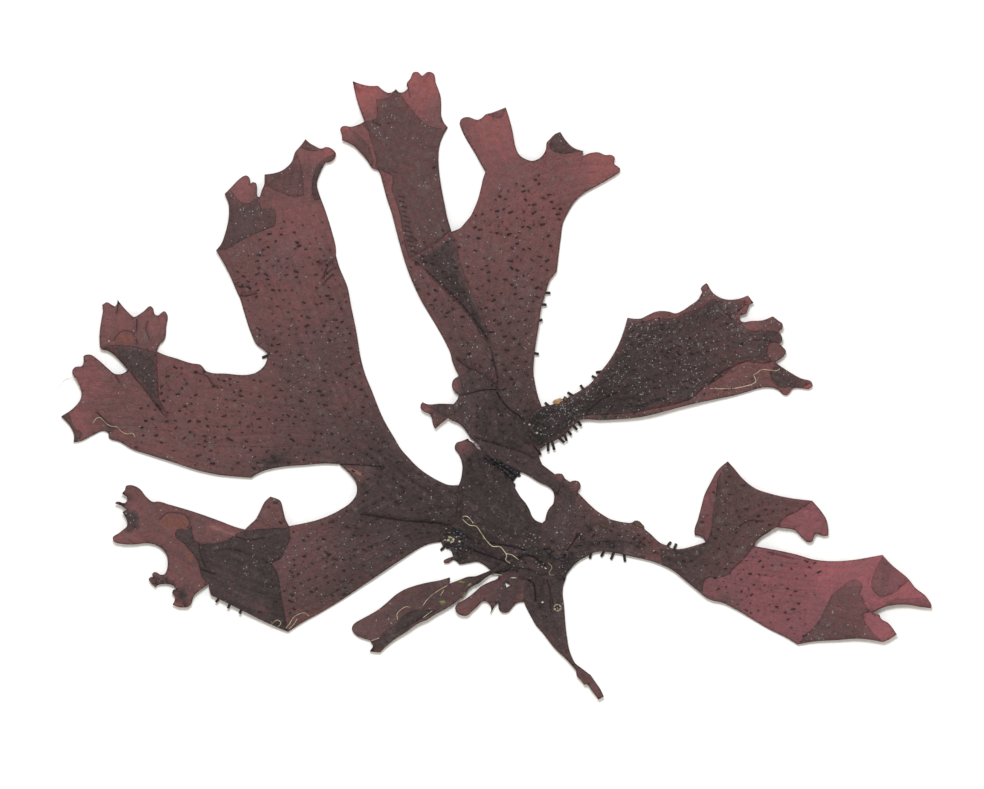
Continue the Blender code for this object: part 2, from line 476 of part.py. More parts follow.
RIGHT_LOWER_BRANCH = [
    (660, 548.5, S), (683, 550.5), (698, 547), (706, 543, S), (710, 534), (712.5, 515), (716.5, 490.4),
    (718, 478.8), (722.5, 470), (727.8, 463, S), (733, 468.8), (742.3, 479.8), (748.3, 485.2),
    (756.6, 490.4), (767, 493.9), (791, 499.4), (811, 501.7, S), (805, 506.7), (798.4, 511),
    (783.4, 519), (778, 526), (768, 531.5), (759.5, 537), (754.7, 542), (752.6, 547), (745.4, 557.3),
    (735, 567.6), (725.7, 575.7), (719, 577.2), (706, 579), (703.5, 583), (703, 592, S), (697, 589),
    (686.8, 580), (673.5, 569.2), (662, 563.5, S),
]
RIGHT_LOWER_CORNER = [
    (882.3, 556.8, S), (889.7, 564.4), (908.5, 580.7, S), (903, 585.4), (896, 591.7), (888, 595.2),
    (882.3, 597), (875.3, 593), (871.9, 588.8), (871.3, 583), (875.3, 570.4),
]
RIGHT_LOWER_TURNED_EDGE = [
    (799.5, 642.3, S), (806, 633.8), (814.2, 627), (820, 618.8), (824.6, 609.6), (833.8, 593.4),
    (840.7, 587.7), (853.4, 579.8), (858, 580.2), (861, 582.5), (862.3, 588.2), (859.8, 592.3),
    (863.2, 599.2), (866, 606), (871.5, 612, S), (864, 613.6), (864.4, 620), (869.6, 629.2),
    (881, 640.3, S), (877.6, 639.8), (859.2, 637.5), (838.4, 638.8), (811, 640.8),
]
RIGHT_LOWER_RIM = [
    (874, 611.2, S), (885.7, 603.8), (892.6, 600), (904.2, 599.2), (915.7, 598), (924, 598.6),
    (929.6, 601.5, S), (930.2, 607.2, S), (919.2, 605.6), (906.5, 603.6), (891.5, 604.4), (884.6, 605.9),
]
RIGHT_LOWER_SPINES = [
    (667.3, 546, 669.9, 541.5), (674, 549, 676.3, 543.8), (590.6, 553.8, 589, 558),
    (604, 551.3, 602.2, 556.8), (613.6, 552.5, 611, 559.3), (624, 554.8, 624, 561.5),
]

# Crown: the knotted base that every frond grows from, with one flat blade of its own.
# On the left it swells to a knot, and below it one lobe is curled over.
CROWN_OUTLINE = [
    (468, 438.5, S), (460.3, 441.5), (456.7, 442.6), (455, 445), (455, 449.7), (457.2, 452),
    (459.7, 456), (461.3, 460.5), (462.3, 465.6), (462, 472), (460.3, 481), (458.3, 486), (457.3, 492),
    (456.8, 505), (455.3, 517), (453, 523, S), (446, 525.5), (441.5, 530), (439.3, 535), (440.5, 541),
    (444, 548, S), (447, 547.4), (451, 550.5), (453, 556.5, S), (446.7, 558.7), (443.4, 561),
    (444.5, 563.5), (448, 563.2), (453.8, 559.7), (459.5, 564.6, S), (469.2, 563), (477.4, 561.8),
    (481.5, 563.3), (485.6, 565.9), (491, 570.5), (497, 573.5), (504, 574), (509, 571.5), (511.8, 570.3),
    (519.5, 580.3, S), (529.7, 580.3), (540, 579.9), (545, 578), (551.5, 574), (552, 566),
    (555.5, 559.5), (552, 553.5), (547, 551.3), (543.2, 550.5, S), (543.2, 535), (543.3, 523.5, S),
    (535, 519.8), (532, 516), (529.5, 509.7), (526, 503.6), (520.8, 497.4), (516.7, 490.8), (515, 487.7),
    (515.5, 484), (513, 482, S), (517.5, 476, S), (519.5, 473.5, S), (505, 467), (497, 463), (489, 459),
    (480, 452.5), (477, 448), (472, 442, S), (469.5, 440.8),
]
CROWN_KNOT = [
    (455, 531, S), (462, 527), (470, 532), (474, 541), (474.5, 550), (467, 558.5), (459.5, 562, S),
    (455.5, 556), (451, 548), (444, 544.5), (441.5, 538), (446, 532.5),
]
CROWN_CURLED_LOBE = [
    (514, 569.5, S), (517, 561), (523.5, 557), (531, 557.8), (539, 563), (547, 569), (549.5, 573.5, S),
    (543, 576.5), (529.7, 578.2), (520.5, 578.2, S),
]
CROWN_SPINES = [(444.5, 546.5, 441, 551.8)]

# Tail: one narrow frond that runs down from the crown and ends torn off.
TAIL_OUTLINE = [
    (563.8, 565, S), (560, 562.5), (557, 561.5), (554.3, 567), (553.8, 575.5, S), (546, 580),
    (540.5, 582), (529.5, 582.5), (521, 583, S), (522, 590), (523, 599.5), (525.3, 605.5), (532.3, 619),
    (535.5, 624.7), (542.6, 633), (556, 649.7), (566.3, 659.4), (572, 665.8), (576, 671), (576.5, 675.4),
    (581, 680.5), (584.2, 684.6, S), (586.2, 683), (592.6, 690.8), (598.5, 699.7, S), (603.8, 696.5, S),
    (600.3, 689.5), (594, 682), (590, 675.4), (581, 667.7), (575.3, 663.2), (572.7, 658.7), (570, 652),
    (567, 637), (565.6, 625.4), (563.7, 602.3), (562.7, 594.6), (563, 587), (565, 577.5, S),
]

# Small blade: a young frond on a thread-thin stalk, with one edge turned over.
SMALL_OUTLINE = [
    (351.8, 629), (352, 627), (354.4, 623.4), (359, 620.6), (380.4, 608), (386, 603.3), (397.7, 593.4),
    (404.6, 589.4), (411.5, 586.8), (430, 582), (439, 580.5), (450, 577.3, S), (449.6, 583.6, S),
    (460, 579.6), (467.5, 576.8), (476, 576), (483, 573.3), (490, 570.4), (497, 565.8), (503, 561.5),
    (508, 563.5), (508.5, 568.5), (500, 571), (490, 575), (484.2, 579), (478.4, 583.6), (471.5, 587),
    (468, 590), (465.7, 594), (461, 598), (448.4, 607.3), (434.6, 614.8), (425.4, 620.6), (420.7, 622.3),
    (407, 631.5), (393, 640.7), (386, 646.5), (380, 652.6, S), (369.4, 651.5, S), (373, 645.4),
    (371, 642), (370.2, 640.2, S), (362, 638), (357.3, 636), (353.8, 633),
]
SMALL_TURNED_EDGE = [
    (371.5, 641, S), (378.6, 639.6), (382.7, 632.7), (396.5, 624), (402.3, 617.7), (411.5, 610.8),
    (425, 610), (439.2, 609.6, S), (430, 614.5), (420, 619.5), (406, 630), (392, 639.4), (385, 645.4),
    (380, 650.5, S), (371.5, 650, S), (374.5, 645.5),
]
SMALL_LIFT = (503, 565, 20, 40)

# Lobes: a tuft of short rounded lobes under the crown.
LOBES_OUTLINE = [
    (499, 577.7, S), (508, 575.5), (510.7, 573.3, S), (517.5, 582), (519.5, 590), (520.8, 600.5, S),
    (517, 603), (512, 608), (508, 612.3), (504, 613), (500.3, 611.3), (498.3, 607), (498.7, 602.3, S),
    (495, 605.5), (492.6, 610), (489.4, 615, S), (491.3, 608.7), (490, 605), (486.8, 601.7),
    (484.2, 601), (477.2, 606.8), (472, 611.3), (467.6, 615.5), (460, 615), (456.7, 612.6), (455, 608),
    (457.3, 603.6), (463, 600.4), (470.8, 595.3), (476, 590.8), (481, 586.3), (490, 581.8),
    (496.4, 579.2),
]

# Colours, linear
MAUVE = (0.165, 0.074, 0.086)
BROWN_MAUVE = (0.118, 0.062, 0.065)
DARK_BROWN = (0.066, 0.049, 0.046)
ROSE = (0.215, 0.078, 0.098)
NEAR_BLACK = (0.034, 0.026, 0.031)

for item in list(bpy.data.objects):
    bpy.data.objects.remove(item)
bpy.context.scene.collection.children.link(bpy.data.collections.new(COLLECTION))

frond("crown", CROWN_OUTLINE, NEAR_BLACK, spines=CROWN_SPINES, covered=[SMALL_OUTLINE], folds=[
    (CROWN_KNOT, 2), (CROWN_CURLED_LOBE, 1),
])
frond("frond_left", LEFT_OUTLINE, MAUVE, spines=LEFT_SPINES, folds=[
    (LEFT_WEDGE, 1), (LEFT_SHOULDER, 1), (LEFT_NOTCH, 1), (LEFT_TIP, 1), (LEFT_CURL, 1), (LEFT_HEM, 1),
    (LEFT_TURNOVER, 1),
])
frond("frond_top", TOP_OUTLINE, BROWN_MAUVE, spines=TOP_SPINES, covered=[RIGHT_UPPER_OUTLINE], folds=[
    (TOP_DOUBLED, 1), (TOP_EAR, 1), (TOP_CROSSING, 2), (TOP_TIP_LEFT, 1), (TOP_TIP_RIGHT, 1),
    (TOP_ELBOW, 1), (TOP_FINGER, 1),
])
frond("frond_right_upper", RIGHT_UPPER_OUTLINE, DARK_BROWN, spines=RIGHT_UPPER_SPINES, folds=[
    (RIGHT_UPPER_DOUBLED, 1), (RIGHT_UPPER_TIP, 1),
], lift=RIGHT_UPPER_LIFT)
frond("frond_right_lower", RIGHT_LOWER_OUTLINE, ROSE, spines=RIGHT_LOWER_SPINES, folds=[
    (RIGHT_LOWER_BRANCH, 1), (RIGHT_LOWER_CORNER, 1), (RIGHT_LOWER_TURNED_EDGE, 1), (RIGHT_LOWER_RIM, 1),
])
frond("frond_tail", TAIL_OUTLINE, DARK_BROWN)
frond("small_blade", SMALL_OUTLINE, BROWN_MAUVE, folds=[(SMALL_TURNED_EDGE, 1)], lift=SMALL_LIFT, bare=True)
frond("short_lobes", LOBES_OUTLINE, DARK_BROWN, bare=True)
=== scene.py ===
"""A pressed and dried thallus of the red seaweed Mastocarpus alaskensis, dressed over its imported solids.

Metres, +Z up, seen from straight above as it lies on a pale sheet. Outlines are drawn in plate units, x to
the right and y down, 869 of them across the spread of the thallus.
"""

import bpy
import numpy as np
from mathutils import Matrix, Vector, kdtree, noise
from mathutils.bvhtree import BVHTree
from mathutils.geometry import delaunay_2d_cdt


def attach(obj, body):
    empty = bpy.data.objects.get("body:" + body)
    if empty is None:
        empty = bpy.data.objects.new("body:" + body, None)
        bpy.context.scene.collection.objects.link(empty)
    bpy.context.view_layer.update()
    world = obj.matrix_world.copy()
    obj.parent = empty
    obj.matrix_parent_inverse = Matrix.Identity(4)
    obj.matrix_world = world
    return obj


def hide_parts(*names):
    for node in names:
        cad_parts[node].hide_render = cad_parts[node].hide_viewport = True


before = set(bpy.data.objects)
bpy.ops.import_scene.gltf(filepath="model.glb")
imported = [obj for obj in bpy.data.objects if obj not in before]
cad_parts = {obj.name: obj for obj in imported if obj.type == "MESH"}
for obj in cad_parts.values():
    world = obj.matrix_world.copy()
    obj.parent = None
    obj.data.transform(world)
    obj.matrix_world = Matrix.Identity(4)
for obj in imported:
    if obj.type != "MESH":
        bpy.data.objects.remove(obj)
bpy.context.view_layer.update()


# Crown
# The knotted base that every frond grew from, tough and almost black, with one flat blade of its own.
# It dried under the press with its lobes curled over one another, so it is the thickest part.
SPREAD = 0.148             # width of the thallus, tip to tip
UNIT = SPREAD / 869        # one plate unit
PLATE_CROWN = (497, 518)   # the plate point of the origin
S = True                   # marks an outline point as a corner, while the others are rounded
BLADE = 0.0006             # thickness of one layer
LAYER = 0.0002             # how much a layer that was turned over stands above the one below
SINK = 0.00015             # how far it is pressed into it
GAP = 0.0003               # clearance where one frond's root lies over another
RIM = 0.0003               # width of the strip where a layer thins out to its margin
RIM_THINNING = 0.00014     # how much each face gives way at the margin
MARGIN_REACH = 0.0009      # width of the thinner tissue along a margin
EDGE_STEP = 0.0004         # spacing of the mesh's points along margins and creases
MESH_STEP = 0.0008         # and over the blades
ROW_STEP = MESH_STEP * 0.87
RIB_STEP = MESH_STEP * 3
CREASE_WIDTH = 0.00022     # half the width of a crease
DARK_DEPTH = 0.0004        # a crease this deep gets the darkest painted shade
RIDGE_SHADOW = 0.25        # how dark the painted shade on a ridge can get, and the height that a full painted shadow would take
RIDGE_HEIGHT = 0.0007
DOME_REACH = 0.0016        # how far in from its margin a domed layer reaches its full height
WAVE_HEIGHT = 0.0012       # the lift of the dried blades, the same swell as in the solids
WAVE_LENGTH_X = 0.038
WAVE_LENGTH_Y = 0.033
FLAT_RADIUS = 0.006        # the crown's middle lies flat
FLAT_FADE = 0.016          # and the wave grows over this distance outwards
COCKLE = 0.00014           # small puckers that drying left in the blades
COCKLE_LENGTH = 0.0075
KNOB_LENGTH = 0.0016       # spacing of the knobs on the crown
DARKEST = (505, 520, 60, 330)   # plate point, reach of the thickest tissue and of its thinning outwards
THICKENING = 0.38          # tissue is 0 in the thinnest tips and 1 in the black of the crown
SPOT_CORE = 0.2            # share of a spot's reach over which it works in full
MARGIN_THINNING = 0.15     # how much thinner thick tissue looks along its margin
THICK_TISSUE = (0.4, 0.7)  # that is, tissue that is between these and more
BARE_EDGE = (0.8, 1.1)     # shares of a bare point's reach between which the papillae begin

CROWN_OUTLINE = [
    (468, 438.5, S), (460.3, 441.5), (456.7, 442.6), (455, 445), (455, 449.7), (457.2, 452),
    (459.7, 456), (461.3, 460.5), (462.3, 465.6), (462, 472), (460.3, 481), (458.3, 486), (457.3, 492),
    (456.8, 505), (455.3, 517), (453, 523, S), (446, 525.5), (441.5, 530), (439.3, 535), (440.5, 541),
    (444, 548, S), (447, 547.4), (451, 550.5), (453, 556.5, S), (446.7, 558.7), (443.4, 561),
    (444.5, 563.5), (448, 563.2), (453.8, 559.7), (459.5, 564.6, S), (469.2, 563), (477.4, 561.8),
    (481.5, 563.3), (485.6, 565.9), (491, 570.5), (497, 573.5), (504, 574), (509, 571.5), (511.8, 570.3),
    (519.5, 580.3, S), (529.7, 580.3), (540, 579.9), (545, 578), (551.5, 574), (552, 566),
    (555.5, 559.5), (552, 553.5), (547, 551.3), (543.2, 550.5, S), (543.2, 535), (543.3, 523.5, S),
    (535, 519.8), (532, 516), (529.5, 509.7), (526, 503.6), (520.8, 497.4), (516.7, 490.8), (515, 487.7),
    (515.5, 484), (513, 482, S), (517.5, 476, S), (524, 468, S), (508, 459), (500, 455), (492, 451),
    (484, 447), (478, 447), (472, 442, S), (469.5, 440.8),
]

CROWN_KNOT = [
    (455, 531, S), (462, 527), (470, 532), (474, 541), (474.5, 550), (467, 558.5), (459.5, 562, S),
    (455.5, 556), (451, 548), (444, 544.5), (441.5, 538), (446, 532.5),
]

CROWN_CURLED_LOBE = [
    (514, 569.5, S), (517, 561), (523.5, 557), (531, 557.8), (539, 563), (547, 569), (549.5, 573.5, S),
    (543, 576.5), (529.7, 578.2), (520.5, 578.2, S),
]

CROWN_CREASES = [
    (-0.0004, [(475, 551), (485.6, 554.6), (498, 559), (506, 561)]),
    (-0.0004, [(491, 543), (502, 544.6), (515, 547), (524.6, 550)]),
    (0.00008, [(473, 455), (469, 472), (467, 492)]),
    (0.00006, [(482, 462), (488, 480), (500, 502)]),
    (0.00008, [(468, 470), (477, 495), (490, 518), (508, 538)]),
    (0.00008, [(478, 508), (490, 520), (512, 530)]),
    (-0.0004, [(486, 459), (493, 464), (502, 470.5), (510.5, 478), (514, 481)]),
    (-0.0003, [(492, 460), (499, 464.5), (508, 470), (516, 477)]),
    (0.0002, [(459.5, 486), (459, 505), (457.5, 519)]),
    (-0.00016, [(462, 487), (461.5, 505), (460.5, 517)]),
    (0.00012, [(466, 527), (480, 534), (497, 538)]),
    (0.00012, [(478, 546), (490, 551), (505, 555)]),
    (-0.0002, [(543.5, 523), (543.5, 537)]),
    (0.0001, [(497, 527), (508, 533), (522, 536), (538, 535)]),
    (-0.0004, [(519, 558), (524, 555.2), (531, 556), (540, 561), (548.5, 568)]),
    (-0.0004, [(546, 549), (549.5, 552), (552, 557), (557.5, 559.5), (563, 560)]),
]
KNOT_CREASES = [
    (-0.0004, [(446, 534.5), (455, 533), (463, 534), (470, 539)]),
    (-0.0003, [(456, 548), (464, 552), (470, 549)]),
    (-0.0004, [(458, 533), (461, 540), (466, 546), (474, 549)]),
    (-0.0002, [(452, 546), (457, 552), (461, 559)]),
]
LOBE_CREASES = [
    (-0.0004, [(523, 559), (531, 559.6), (538, 564), (546, 569.5)]),
    (-0.0002, [(518, 568), (528, 569), (540, 574)]),
    (-0.0003, [(514, 565), (518, 572), (523, 577.5)]),
]
CROWN_MIDRIBS = [
    [(456, 498), (480, 512), (510, 530), (545, 542)], [(466, 444), (476, 470), (490, 490), (516, 508)],
    [(550, 568), (515, 562), (480, 554), (442, 537)],
]
CROWN_SPOTS = [
    (461, 446, 18, -0.4), (446, 561, 12, -0.25), (441, 552, 8, -0.25), (530, 565, 16, -0.12),
    (566, 568, 20, 0.2), (507, 566, 14, 0.14),
]
# The first outline is painted shade: it darkens the crack where the top frond's band lies over the crown.
CROWN_STAINS_AND_SHADE = [([
    (484, 455), (492, 457), (505, 463), (519, 470), (523, 477), (516, 482), (508, 479.5), (497, 470),
    (487, 462),
], 0.25), ([(546, 547), (552, 551), (557, 556), (565, 558), (564, 563), (556, 562), (549, 557)], 0.2)]
CROWN_BARE = [(490, 505, 24)]
THALLUS_TINTS = ("9B5A58", "805051", "644848", "4B3F3F", "2E2A2B")
FIBRE_ACROSS = 0.0007      # spacing of the fine lines along a blade
FIBRE_ALONG = 0.012
MOTTLE = 0.007             # size of the clouds of paler and darker tissue
WRINKLE = 0.0013           # and of the puckers, and of the fine grit
GRIT = 0.00048
SALT_GLINT_SPACING = 0.00026       # spacing of the salt grains and painted glints, drawn a little large so that they show
SALT_GLINT_TISSUE = 0.43         # the thinnest tissue that bears salt grains and painted glints
RELIEF = 0.0011            # height of the wrinkles and lines, drawn a little high for the same reason


def place(points):
    """Plate units to metres, as rows of x and y."""
    plate = np.array([point[:2] for point in points], float)
    return (plate - PLATE_CROWN) * (UNIT, -UNIT)


def unit(vector):
    """A vector cut to length 1."""
    return vector / np.hypot(*vector)


def trace(points, step, closed=True):
    """An outline in metres, as Hermite arcs between its points that break at the corners and at open ends.

    A closed one runs counter-clockwise.
    """
    path = place(points)
    count = len(path)
    corner = [len(point) == 3 for point in points]
    if not closed:
        corner[0] = corner[-1] = True
    traced = []
    for i in range(count if closed else count - 1):
        before, start, end, after = (path[(i + k) % count] for k in (-1, 0, 1, 2))
        back, length, ahead = (np.hypot(*(b - a)) for a, b in ((before, start), (start, end), (end, after)))
        chord = unit(end - start)
        leave = chord if corner[i] else (unit(start - before) * length + chord * back) / (back + length)
        arrive = chord
        if not corner[(i + 1) % count]:
            arrive = (chord * ahead + unit(after - end) * length) / (length + ahead)
        steps = max(1, round(length / step))
        for u in np.arange(steps) / steps:
            traced.append(
                (2 * u**3 - 3 * u**2 + 1) * start + (u**3 - 2 * u**2 + u) * length * leave
                + (3 * u**2 - 2 * u**3) * end + (u**3 - u**2) * length * arrive
            )
    if not closed:
        return np.array([*traced, path[-1]])
    loop = np.array(traced)
    ahead = np.roll(loop, -1, axis=0)
    clockwise = (loop[:, 0] * ahead[:, 1] - ahead[:, 0] * loop[:, 1]).sum() < 0
    return loop[::-1] if clockwise else loop


def smoothstep(low, high, value):
    """Rises smoothly from 0 at low to 1 at high."""
    t = np.clip((value - low) / (high - low), 0, 1)
    return t * t * (3 - 2 * t)


def distance_to(points, line):
    """Distance from each point to the nearest of a line's points."""
    tree = kdtree.KDTree(len(line))
    for i, (x, y) in enumerate(line):
        tree.insert((x, y, 0), i)
    tree.balance()
    return np.array([tree.find((x, y, 0))[2] for x, y in points])


def inside(points, loop):
    """Which points lie inside a closed loop."""
    held = np.zeros(len(points), bool)
    x, y = points.T
    for (x1, y1), (x2, y2) in zip(loop, np.roll(loop, -1, axis=0)):
        if y1 != y2:
            held ^= ((y1 > y) != (y2 > y)) & (x < x1 + (y - y1) / (y2 - y1) * (x2 - x1))
    return held


def along_and_across(points, ribs):
    """How far each point lies to the side of every midrib, and how far along it, by midrib and point."""
    found = []
    for rib in ribs:
        start = rib[:-1]
        run = np.diff(rib, axis=0)
        length = np.hypot(*run.T)
        walked = np.concatenate([[0], np.cumsum(length)[:-1]])
        offset = points[:, None] - start
        share = np.clip((offset * run).sum(axis=2) / length**2, 0, 1)
        gap = np.linalg.norm(offset - share[..., None] * run, axis=2)
        best = gap.argmin(axis=1)
        row = np.arange(len(points))
        turn = run[best, 0] * offset[row, best, 1] - run[best, 1] * offset[row, best, 0]
        along = walked[best] + share[row, best] * length[best]
        found.append(np.column_stack([np.copysign(gap[row, best], turn), along]))
    return np.array(found)


def wave(points):
    """How far the dried thallus stands off the surface: nothing under the crown, gentle swells outwards."""
    x, y = points.T
    swell = 0.5 + 0.5 * np.sin(2 * np.pi * x / WAVE_LENGTH_X) * np.cos(2 * np.pi * y / WAVE_LENGTH_Y)
    puckers = np.array([noise.noise((px / COCKLE_LENGTH, py / COCKLE_LENGTH, 0)) for px, py in points])
    outwards = smoothstep(FLAT_RADIUS, FLAT_RADIUS + FLAT_FADE, np.hypot(x, y))
    return (WAVE_HEIGHT * swell + COCKLE * (1 + puckers)) * outwards


def plate_distance(points, x, y):
    """How far each point is from a plate point, in plate units."""
    return np.hypot(*(points - place([(x, y)])).T) / UNIT


def raised(points, lift):
    """How far a root is held up where it lies over its neighbour."""
    if lift is None:
        return 0
    x, y, held, slope = lift
    return (BLADE + GAP) * (1 - smoothstep(held, held + slope, plate_distance(points, x, y)))


def mesh_points(loop, lines):
    """Points for one layer: its margin, a ring inside it, both sides of each crease, and an even grid."""
    ahead = np.roll(loop, -1, axis=0) - np.roll(loop, 1, axis=0)
    inward = np.column_stack([-ahead[:, 1], ahead[:, 0]]) / np.hypot(*ahead.T)[:, None]
    ring = (loop + inward * RIM)[::2]
    ring = ring[distance_to(ring, loop) > RIM * 0.85]
    grid_x, grid_y = np.meshgrid(
        np.arange(loop[:, 0].min(), loop[:, 0].max(), MESH_STEP),
        np.arange(loop[:, 1].min(), loop[:, 1].max(), ROW_STEP),
    )
    grid_x[1::2] += MESH_STEP / 2
    inner = np.column_stack([grid_x.ravel(), grid_y.ravel()])
    inner = inner[distance_to(inner, loop) > RIM * 1.6]
    beside = []
    for line in lines:
        run = np.gradient(line, axis=0)
        side = np.column_stack([-run[:, 1], run[:, 0]]) / np.hypot(*run.T)[:, None] * CREASE_WIDTH
        beside += [line, line + side, line - side]
    if beside:
        beside = np.concatenate(beside)
        inner = inner[distance_to(inner, beside) > MESH_STEP / 3]
        inner = np.concatenate([inner, beside[distance_to(beside, loop) > RIM]])
    return np.concatenate([loop, ring, inner])


def layer_mesh(loop, lines, hole):
    """One layer as flat points, triangles, and how far each point is from the margin."""
    points = mesh_points(loop, lines)
    margins = loop
    rim_edges = []
    if hole is not None:
        points = points[distance_to(points, hole) > RIM / 2]
        rim_edges = [(len(points) + i, len(points) + (i + 1) % len(hole)) for i in range(len(hole))]
        points = np.concatenate([points, hole])
        margins = np.concatenate([loop, hole])
    points = [Vector(point) for point in points]
    flat, _, triangles, _, _, _ = delaunay_2d_cdt(points, rim_edges, [list(range(len(loop)))], 1, 1e-8)
    flat = np.array(flat)
    triangles = np.array(triangles)
    if hole is not None:
        triangles = triangles[~inside(flat[triangles].mean(axis=1), hole)]
    used, triangles = np.unique(triangles, return_inverse=True)
    flat = flat[used]
    return flat, triangles.reshape(-1, 3), distance_to(flat, margins)


def creased(flat, creases, lines, deepest):
    """How far the creases lift or lower each point, and how much painted shade they lay on it, from 0 to 1.

    No crease is let down past the deepest height, so that none cuts through its layer.
    """
    rise = np.zeros(len(flat))
    shadow = np.zeros(len(flat))
    for (height, _), line in zip(creases, lines):
        near = np.clip(1 - distance_to(flat, line) / CREASE_WIDTH, 0, 1)
        rise += max(height, deepest) * near
        if height < 0:
            dark = min(1, -height / DARK_DEPTH) ** 0.5
        else:
            dark = min(RIDGE_SHADOW, height / RIDGE_HEIGHT)
        shadow = np.maximum(shadow, near * dark)
    return rise, shadow


def tissue_seen(flat, tissue, spots, stains_and_shade, folded):
    """How thick the tissue looks at each point, with the spots, the stain outlines (one of the crown's is
    painted shade) and what a fold adds.
    """
    thin = np.zeros(len(flat))
    thick = np.zeros(len(flat))
    for x, y, reach, change in spots:
        near = change * (1 - smoothstep(reach * SPOT_CORE, reach, plate_distance(flat, x, y)))
        thin = np.minimum(thin, near)
        thick = np.maximum(thick, near)
    x, y, near, far = DARKEST
    crown_near = 1 - smoothstep(near, far, plate_distance(flat, x, y))
    seen = tissue + THICKENING * crown_near + thin + thick + folded
    # Most outlines are stains; the crown's first is painted shade in the crack under the band.
    for outline, change in stains_and_shade:
        seen += change * inside(flat, trace(outline, EDGE_STEP))
    return seen


def in_scene(name, data):
    """A new object with this data, linked into the scene."""
    made = bpy.data.objects.new(name, data)
    bpy.context.scene.collection.objects.link(made)
    return made


def blade(name, layers, midribs, tissue, spots=(), stains_and_shade=(), bare=(), lift=None, hole=None, knobs=0.0):
    """A frond's blade with the layers turned over onto it, as one piece, and the mesh its papillae grow on.

    Each layer is its outline, its creases, its bottom and top, how much it domes up, how much thicker its
    tissue looks, how dark its margin is, which along a turned-over layer's edge is painted shade, and how far
    in from the margin that thicker look fades in. A crease is a height and a line, and it lays painted shade.
    Spots are plate points with a reach and a change in tissue, stain outlines have one too, and one of the
    crown's is painted shade in a crack; no papillae grow within reach of the bare points.
    """
    ribs = [trace(rib, RIB_STEP, closed=False) for rib in midribs]
    loops = [trace(outline, EDGE_STEP) for outline, *_ in layers]
    corners, faces, paint, grain, chosen, ground, ground_faces, bearing = [], [], [], [], [], [], [], []
    first = 0
    first_ground = 0
    for number, (loop, (_, creases, low, high, dome, deeper, edge, soft)) in enumerate(zip(loops, layers)):
        lines = [trace(line, EDGE_STEP, closed=False) for _, line in creases]
        flat, triangles, margin = layer_mesh(loop, lines, hole)
        count = len(flat)

        # Both faces of the layer, and the wall between them
        rise, shadow = creased(flat, creases, lines, ((BLADE if number else 0) - high) / 2)
        if knobs:
            knobby = [noise.noise((x / KNOB_LENGTH, y / KNOB_LENGTH, 2 + number)) for x, y in flat]
            rise += knobs * np.array(knobby) * smoothstep(0, DOME_REACH / 2, margin)
        thinning = RIM_THINNING * (1 - smoothstep(0, RIM, margin))
        lie = wave(flat) + raised(flat, lift)
        top = lie + high - thinning + rise + dome * smoothstep(0, DOME_REACH, margin)
        corners += [np.column_stack([flat, top]), np.column_stack([flat, lie + low + thinning])]
        faces += (triangles + first).tolist() + (triangles[:, ::-1] + first + count).tolist()
        edges = {(a, b) for face in triangles.tolist() for a, b in zip(face, face[1:] + face[:1])}
        for a, b in sorted(edges):
            if (b, a) not in edges:
                faces.append((first + a, first + count + a, first + count + b, first + b))
        first += 2 * count

        # Its look: the tissue, the painted shade of the creases, the dark rim, which is painted shade on a
        # turned-over layer, and the lines that run along the nearest midrib
        folded = deeper * (smoothstep(0, soft, margin) if soft else 1)
        seen = tissue_seen(flat, tissue, spots, stains_and_shade, folded)
        if number == 0:
            outer = 1 - smoothstep(0, MARGIN_REACH, margin)
            seen -= MARGIN_THINNING * outer * smoothstep(*THICK_TISSUE, seen)
        painted = np.column_stack([seen, shadow, (1 - smoothstep(0, RIM, margin)) * edge])
        paint += [painted, painted]
        lined = along_and_across(flat, ribs)
        grain += [lined, lined]
        centres = flat[triangles].mean(axis=1)
        nearest = np.abs(along_and_across(centres, ribs)[:, :, 0]).argmin(axis=0).tolist()
        chosen += nearest * 2 + [0] * (len(faces) - len(chosen) - 2 * len(nearest))

        # The ground for papillae: its upper face, less what lies under another layer
        shown = np.ones(len(triangles), bool)
        for other in loops[1:] if number == 0 else []:
            shown &= ~inside(centres, other)
        ground.append(corners[-2])
        ground_faces += (triangles[shown] + first_ground).tolist()
        first_ground += count
        bearer = smoothstep(RIM, MARGIN_REACH, margin)
        for x, y, reach in bare:
            bearer *= smoothstep(*(reach * share for share in BARE_EDGE), plate_distance(flat, x, y))
        bearing.append(bearer)

    mesh = bpy.data.meshes.new(name)
    mesh.from_pydata(np.concatenate(corners).tolist(), [], faces)
    paint = np.concatenate(paint)
    for column, attribute in enumerate(("tissue", "crease", "rim")):
        values = mesh.attributes.new(attribute, "FLOAT", "POINT")
        values.data.foreach_set("value", paint[:, column].astype(np.float32))
    owner = np.concatenate(faces)
    rib = np.repeat(chosen, [len(face) for face in faces])
    lines = mesh.uv_layers.new(name="grain")
    lines.data.foreach_set("uv", np.concatenate(grain, axis=1)[rib, owner].astype(np.float32).ravel())
    mesh.shade_smooth()

    ground_mesh = bpy.data.meshes.new(name + "_ground")
    ground_mesh.from_pydata(np.concatenate(ground).tolist(), [], ground_faces)
    values = ground_mesh.attributes.new("bearing", "FLOAT", "POINT")
    values.data.foreach_set("value", np.concatenate(bearing).astype(np.float32))
    return in_scene(name, mesh), ground_mesh


def flat_layer(outline, creases=(), swollen=0.0):
    """The layer that lies on the surface."""
    return outline, creases, 0.0, BLADE + swollen, 0.0, 0.0, 1.0, 0.0


def turned_over(outline, creases=(), layers=1, dome=0.0, deeper=0.33, edge=0.3, soft=0.0):
    """A layer that the press turned over onto the one below."""
    return outline, creases, BLADE - SINK, BLADE + layers * LAYER, dome, deeper, edge, soft


def colour(hex_code):
    """An sRGB hex colour as linear RGBA."""
    channels = (int(hex_code[i:i + 2], 16) / 255 for i in (0, 2, 4))
    return (*(c / 12.92 if c <= 0.04045 else ((c + 0.055) / 1.055) ** 2.4 for c in channels), 1.0)


